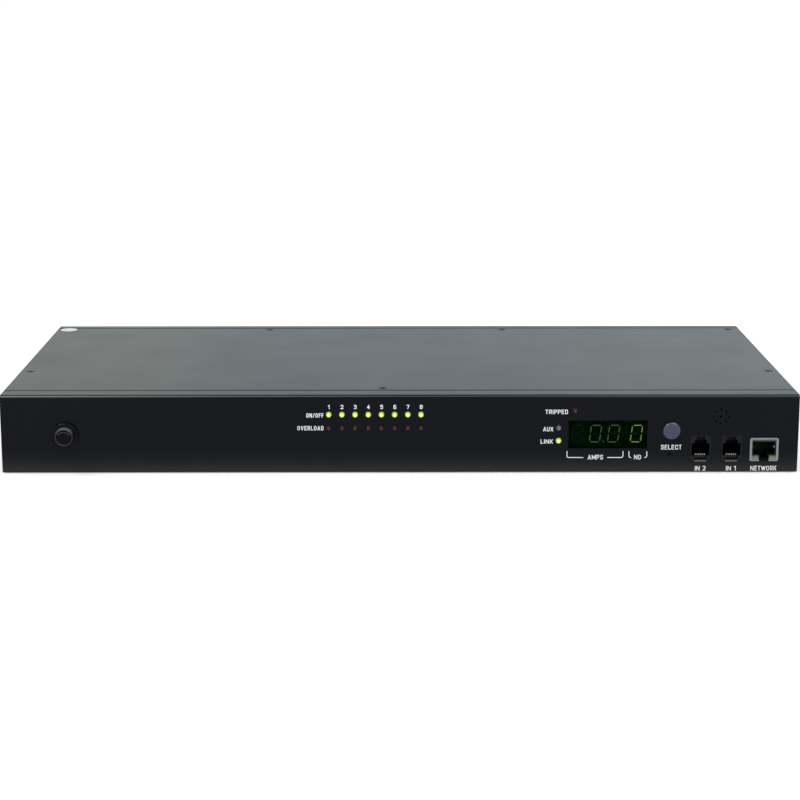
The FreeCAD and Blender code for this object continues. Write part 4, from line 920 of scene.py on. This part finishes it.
# The rim runs from the gap below the latch round the mouth and back to it
def shieldRim(look):
    def walk(side, foot, top, corner):
        half = look["half"] - side
        low, high = look["low"] + foot, look["high"] - top
        points = [(look["gap"][0], low)]
        for x, z, start in ((corner - half, low + corner, 270), (corner - half, high - corner, 180),
                            (half - corner, high - corner, 90), (half - corner, low + corner, 0)):
            points += quarterArc(x, z, corner, start, -1, look["steps"])
        points.append((look["gap"][1], low))
        return [(networkX + x, z) for x, z in points]

    builder = bmesh.new()
    outer = walk(0.0, 0.0, 0.0, look["corner"])
    inner = walk(look["side"], look["foot"], look["top"], look["inner"])
    flatStrip(builder, outer, inner, look["back"], look["front"])
    putPiece("shieldRim", builder, tinnedSteel)


# Bent leaves on both sides of the mouth that touch the plug's shield
def shieldSprings(look):
    builder = bmesh.new()
    sheet, low, high = look["sheet"], look["low"], look["high"]
    for side in (-1, 1):
        joinRows(builder, [[builder.verts.new((networkX + side * (x + out) * mm, y * mm, z))
                            for out, z in ((0.0, low), (sheet, low), (sheet, high), (0.0, high))]
                           for x, y in look["path"]])
    putPiece("shieldSprings", builder, tinnedSteel)


sensorMiddles = sensorPlaces.values()
socketBars("latchStops", stopLook, sensorMiddles, grainedFinish("stopPlastic", stopFinish))
socketBars("jackLips", lipLook, sensorMiddles, grainedFinish("lipPaintedHighlight", lipHighlightFinish))
shieldRim(rimLook)
socketBars("shieldStep", stepLook, [networkX], grainedFinish("stepSteel", stepFinish))
# a dark sheet closes the notch: painted shade where the board would show in shadow
socketBars("notchShadeSheet", notchShadeLook, [networkX], networkPlastic)
shieldSprings(springLook)

# The two light windows of the network socket, darker towards their tops
networkLampLook = {"left": (0.26, 0.272, 0.266), "right": (0.27, 0.32, 0.13), "splitHalf": 0.1 * mm,
                   "shade": (0.016, 0.018, 0.014), "shadeTop": 10.0 * mm, "shadeLow": 7.4 * mm,
                   "shadeCloud": 0.15, "cloudScale": 2400.0, "rough": 0.3, "bump": 0.1,
                   "bumpDepth": 0.00006}


def networkLampFinish(look):
    material, shader, spot, cloud = cloudyMaterial("networkLampLens", look)
    across, up = axesOf(spot)[::2]
    side = spread(across, networkX - look["splitHalf"], networkX + look["splitHalf"])
    tone = colourBetween(side, [(0.0, look["left"]), (1.0, look["right"])])
    height = sumOf("ADD", spread(up, look["shadeLow"], look["shadeTop"]),
                   overCloud(cloud, -look["shadeCloud"], look["shadeCloud"]))
    bumpFrom(shader, cloud, look)
    feed(shader, {"Base Color": colourOver(height, tone, look["shade"]), "Roughness": look["rough"]})
    return material


dress(networkLampFinish(networkLampLook), "network_lamps")
print("sockets done")

# Inlet blades in metal over the moulded ones, and contacts inside the outlets' slots
bladeFinish = {"dark": (0.52, 0.50, 0.46), "light": (0.66, 0.64, 0.60), "cloudScale": 400.0,
               "grainScale": 4600.0, "smooth": 0.2, "rough": 0.34, "bumpDepth": 0.00006, "metal": 1.0}
bladeLook = {"x": -178.0 * mm, "z": rearRow * mm, "width": 8.0 * mm, "thick": 2.0 * mm, "pitch": 13.0 * mm,
             "rise": 8.0 * mm, "back": 91.0 * mm, "front": 103.3 * mm, "skin": 0.06 * mm, "ease": 0.5 * mm}
slotLook = {"firstX": -112.0 * mm, "pitch": 42.0 * mm, "z": rearRow * mm, "slotPitch": 14.0 * mm,
            "shift": 2.0 * mm, "back": 91.6 * mm, "front": 101.5 * mm, "width": 0.55 * mm, "rise": 4.2 * mm,
            "wall": 1.16 * mm, "ease": 0.15 * mm}


# The three poles of a rear fitting, the middle one higher
def threePoles(pitch, shift):
    return [(-pitch / 2, -shift), (0.0, shift), (pitch / 2, -shift)]


def inletBlades(look):
    builder = bmesh.new()
    half = look["width"] / 2 + look["skin"]
    thick = look["thick"] / 2 + look["skin"]
    for x, z in threePoles(look["pitch"], look["rise"] / 2):
        easedBlock(builder, (look["x"] + x - half, look["back"], look["z"] + z - thick),
                   (look["x"] + x + half, look["front"], look["z"] + z + thick), look["ease"])
    putPiece("inletBlades", builder, grainedFinish("nickel", bladeFinish))


# A pair of sprung leaves lines each slot
def outletContacts(look):
    builder = bmesh.new()
    for n in range(outletCount):
        for x, z in threePoles(look["slotPitch"], look["shift"]):
            middle, level = look["firstX"] + n * look["pitch"] + x, look["z"] + z
            for side in (-1, 1):
                outer = middle + side * look["wall"]
                left, right = sorted((outer, outer - side * look["width"]))
                easedBlock(builder, (left, look["back"], level - look["rise"] / 2),
                           (right, look["front"], level + look["rise"] / 2), look["ease"])
    putPiece("outletContacts", builder, goldPlate)


inletBlades(bladeLook)
outletContacts(slotLook)
print("rear fittings done")

# Floor, light and camera
floorLook = {"size": 30.0, "drop": 0.2 * mm, "dark": (0.88, 0.88, 0.88), "light": (0.90, 0.90, 0.90),
             "cloudScale": 40.0, "rough": 0.9, "lift": 0.25}


# One for a ray that the eye follows: straight, mirrored or through glass
def seenRay(beside):
    path = addNode(beside, "LightPath")
    either = sumOf("MAXIMUM", path.outputs["Is Camera Ray"], path.outputs["Is Glossy Ray"])
    return sumOf("MAXIMUM", either, path.outputs["Is Transmission Ray"])


def paleFloor(look):
    half = look["size"] / 2
    mesh = bpy.data.meshes.new("paleFloor")
    corners = [(x * half, y * half, 0.0) for x, y in ((-1, -1), (1, -1), (1, 1), (-1, 1))]
    mesh.from_pydata(corners, [], [(0, 1, 2, 3)])
    floor = bpy.data.objects.new("paleFloor", mesh)
    floor.location.z = -look["drop"]
    scene.collection.objects.link(floor)
    material, shader = newMaterial("paleFloor")
    cloud = noiseOver(objectSpot(shader), look["cloudScale"])
    feed(shader, {"Base Color": cloudTone(cloud, look), "Roughness": look["rough"],
                  "Specular IOR Level": 0.0, "Emission Color": (1.0, 1.0, 1.0),
                  "Emission Strength": sumOf("MULTIPLY", seenRay(shader), look["lift"])})
    mesh.materials.append(material)


lampLook = {
    "overheadLeft": {"place": (-0.75, -0.35, 1.15), "aim": (-0.15, 0.0, 0.03), "size": (0.5, 0.35),
                     "watts": 4.0},
    "overheadRight": {"place": (0.8, -0.35, 1.15), "aim": (0.15, 0.0, 0.03), "size": (0.5, 0.35),
                      "watts": 3.0},
    "overheadWide": {"place": (0.1, -0.2, 1.9), "aim": (0.0, 0.0, 0.0), "size": (1.8, 1.2), "watts": 2.0},
}


def studioLamp(name, look):
    lamp = bpy.data.lights.new(name, "AREA")
    lamp.shape = "RECTANGLE"
    lamp.size, lamp.size_y = look["size"]
    lamp.energy = look["watts"]
    holder = bpy.data.objects.new(name, lamp)
    holder.location = look["place"]
    sight = Vector(look["aim"]) - Vector(look["place"])
    holder.rotation_euler = sight.to_track_quat("-Z", "Y").to_euler()
    scene.collection.objects.link(holder)


worldLook = {"white": 1.0, "fill": 0.85}


# White for the eye and for reflections, softer as a light
def studioWorld(look):
    world = bpy.data.worlds.new("studio")
    scene.world = world
    world.use_nodes = True
    world.node_tree.nodes.clear()
    mix = world.node_tree.nodes.new("ShaderNodeMixShader")
    feed(mix, {"Fac": seenRay(mix)})
    for place, name in ((1, "fill"), (2, "white")):
        layer = addNode(mix, "Background")
        feed(layer, {"Color": (1.0, 1.0, 1.0), "Strength": look[name]})
        feed(mix, {place: layer.outputs["Background"]})
    feed(addNode(mix, "OutputWorld"), {"Surface": mix.outputs["Shader"]})


cameraLook = {"place": (-0.00487, -1.16696, 0.28027), "down": 12.6832, "right": 0.2603, "lens": 89.1415,
              "sensor": 36.0}


def photoCamera(look):
    lens = bpy.data.cameras.new("photoCamera")
    lens.lens = look["lens"]
    lens.sensor_width = look["sensor"]
    holder = bpy.data.objects.new("photoCamera", lens)
    holder.location = look["place"]
    holder.rotation_euler = (math.radians(90 - look["down"]), 0.0, math.radians(-look["right"]))
    scene.collection.objects.link(holder)
    scene.camera = holder


paleFloor(floorLook)
for lampName, look in lampLook.items():
    studioLamp(lampName, look)
studioWorld(worldLook)
photoCamera(cameraLook)
scene.view_settings.view_transform = "Standard"
print("stage done")
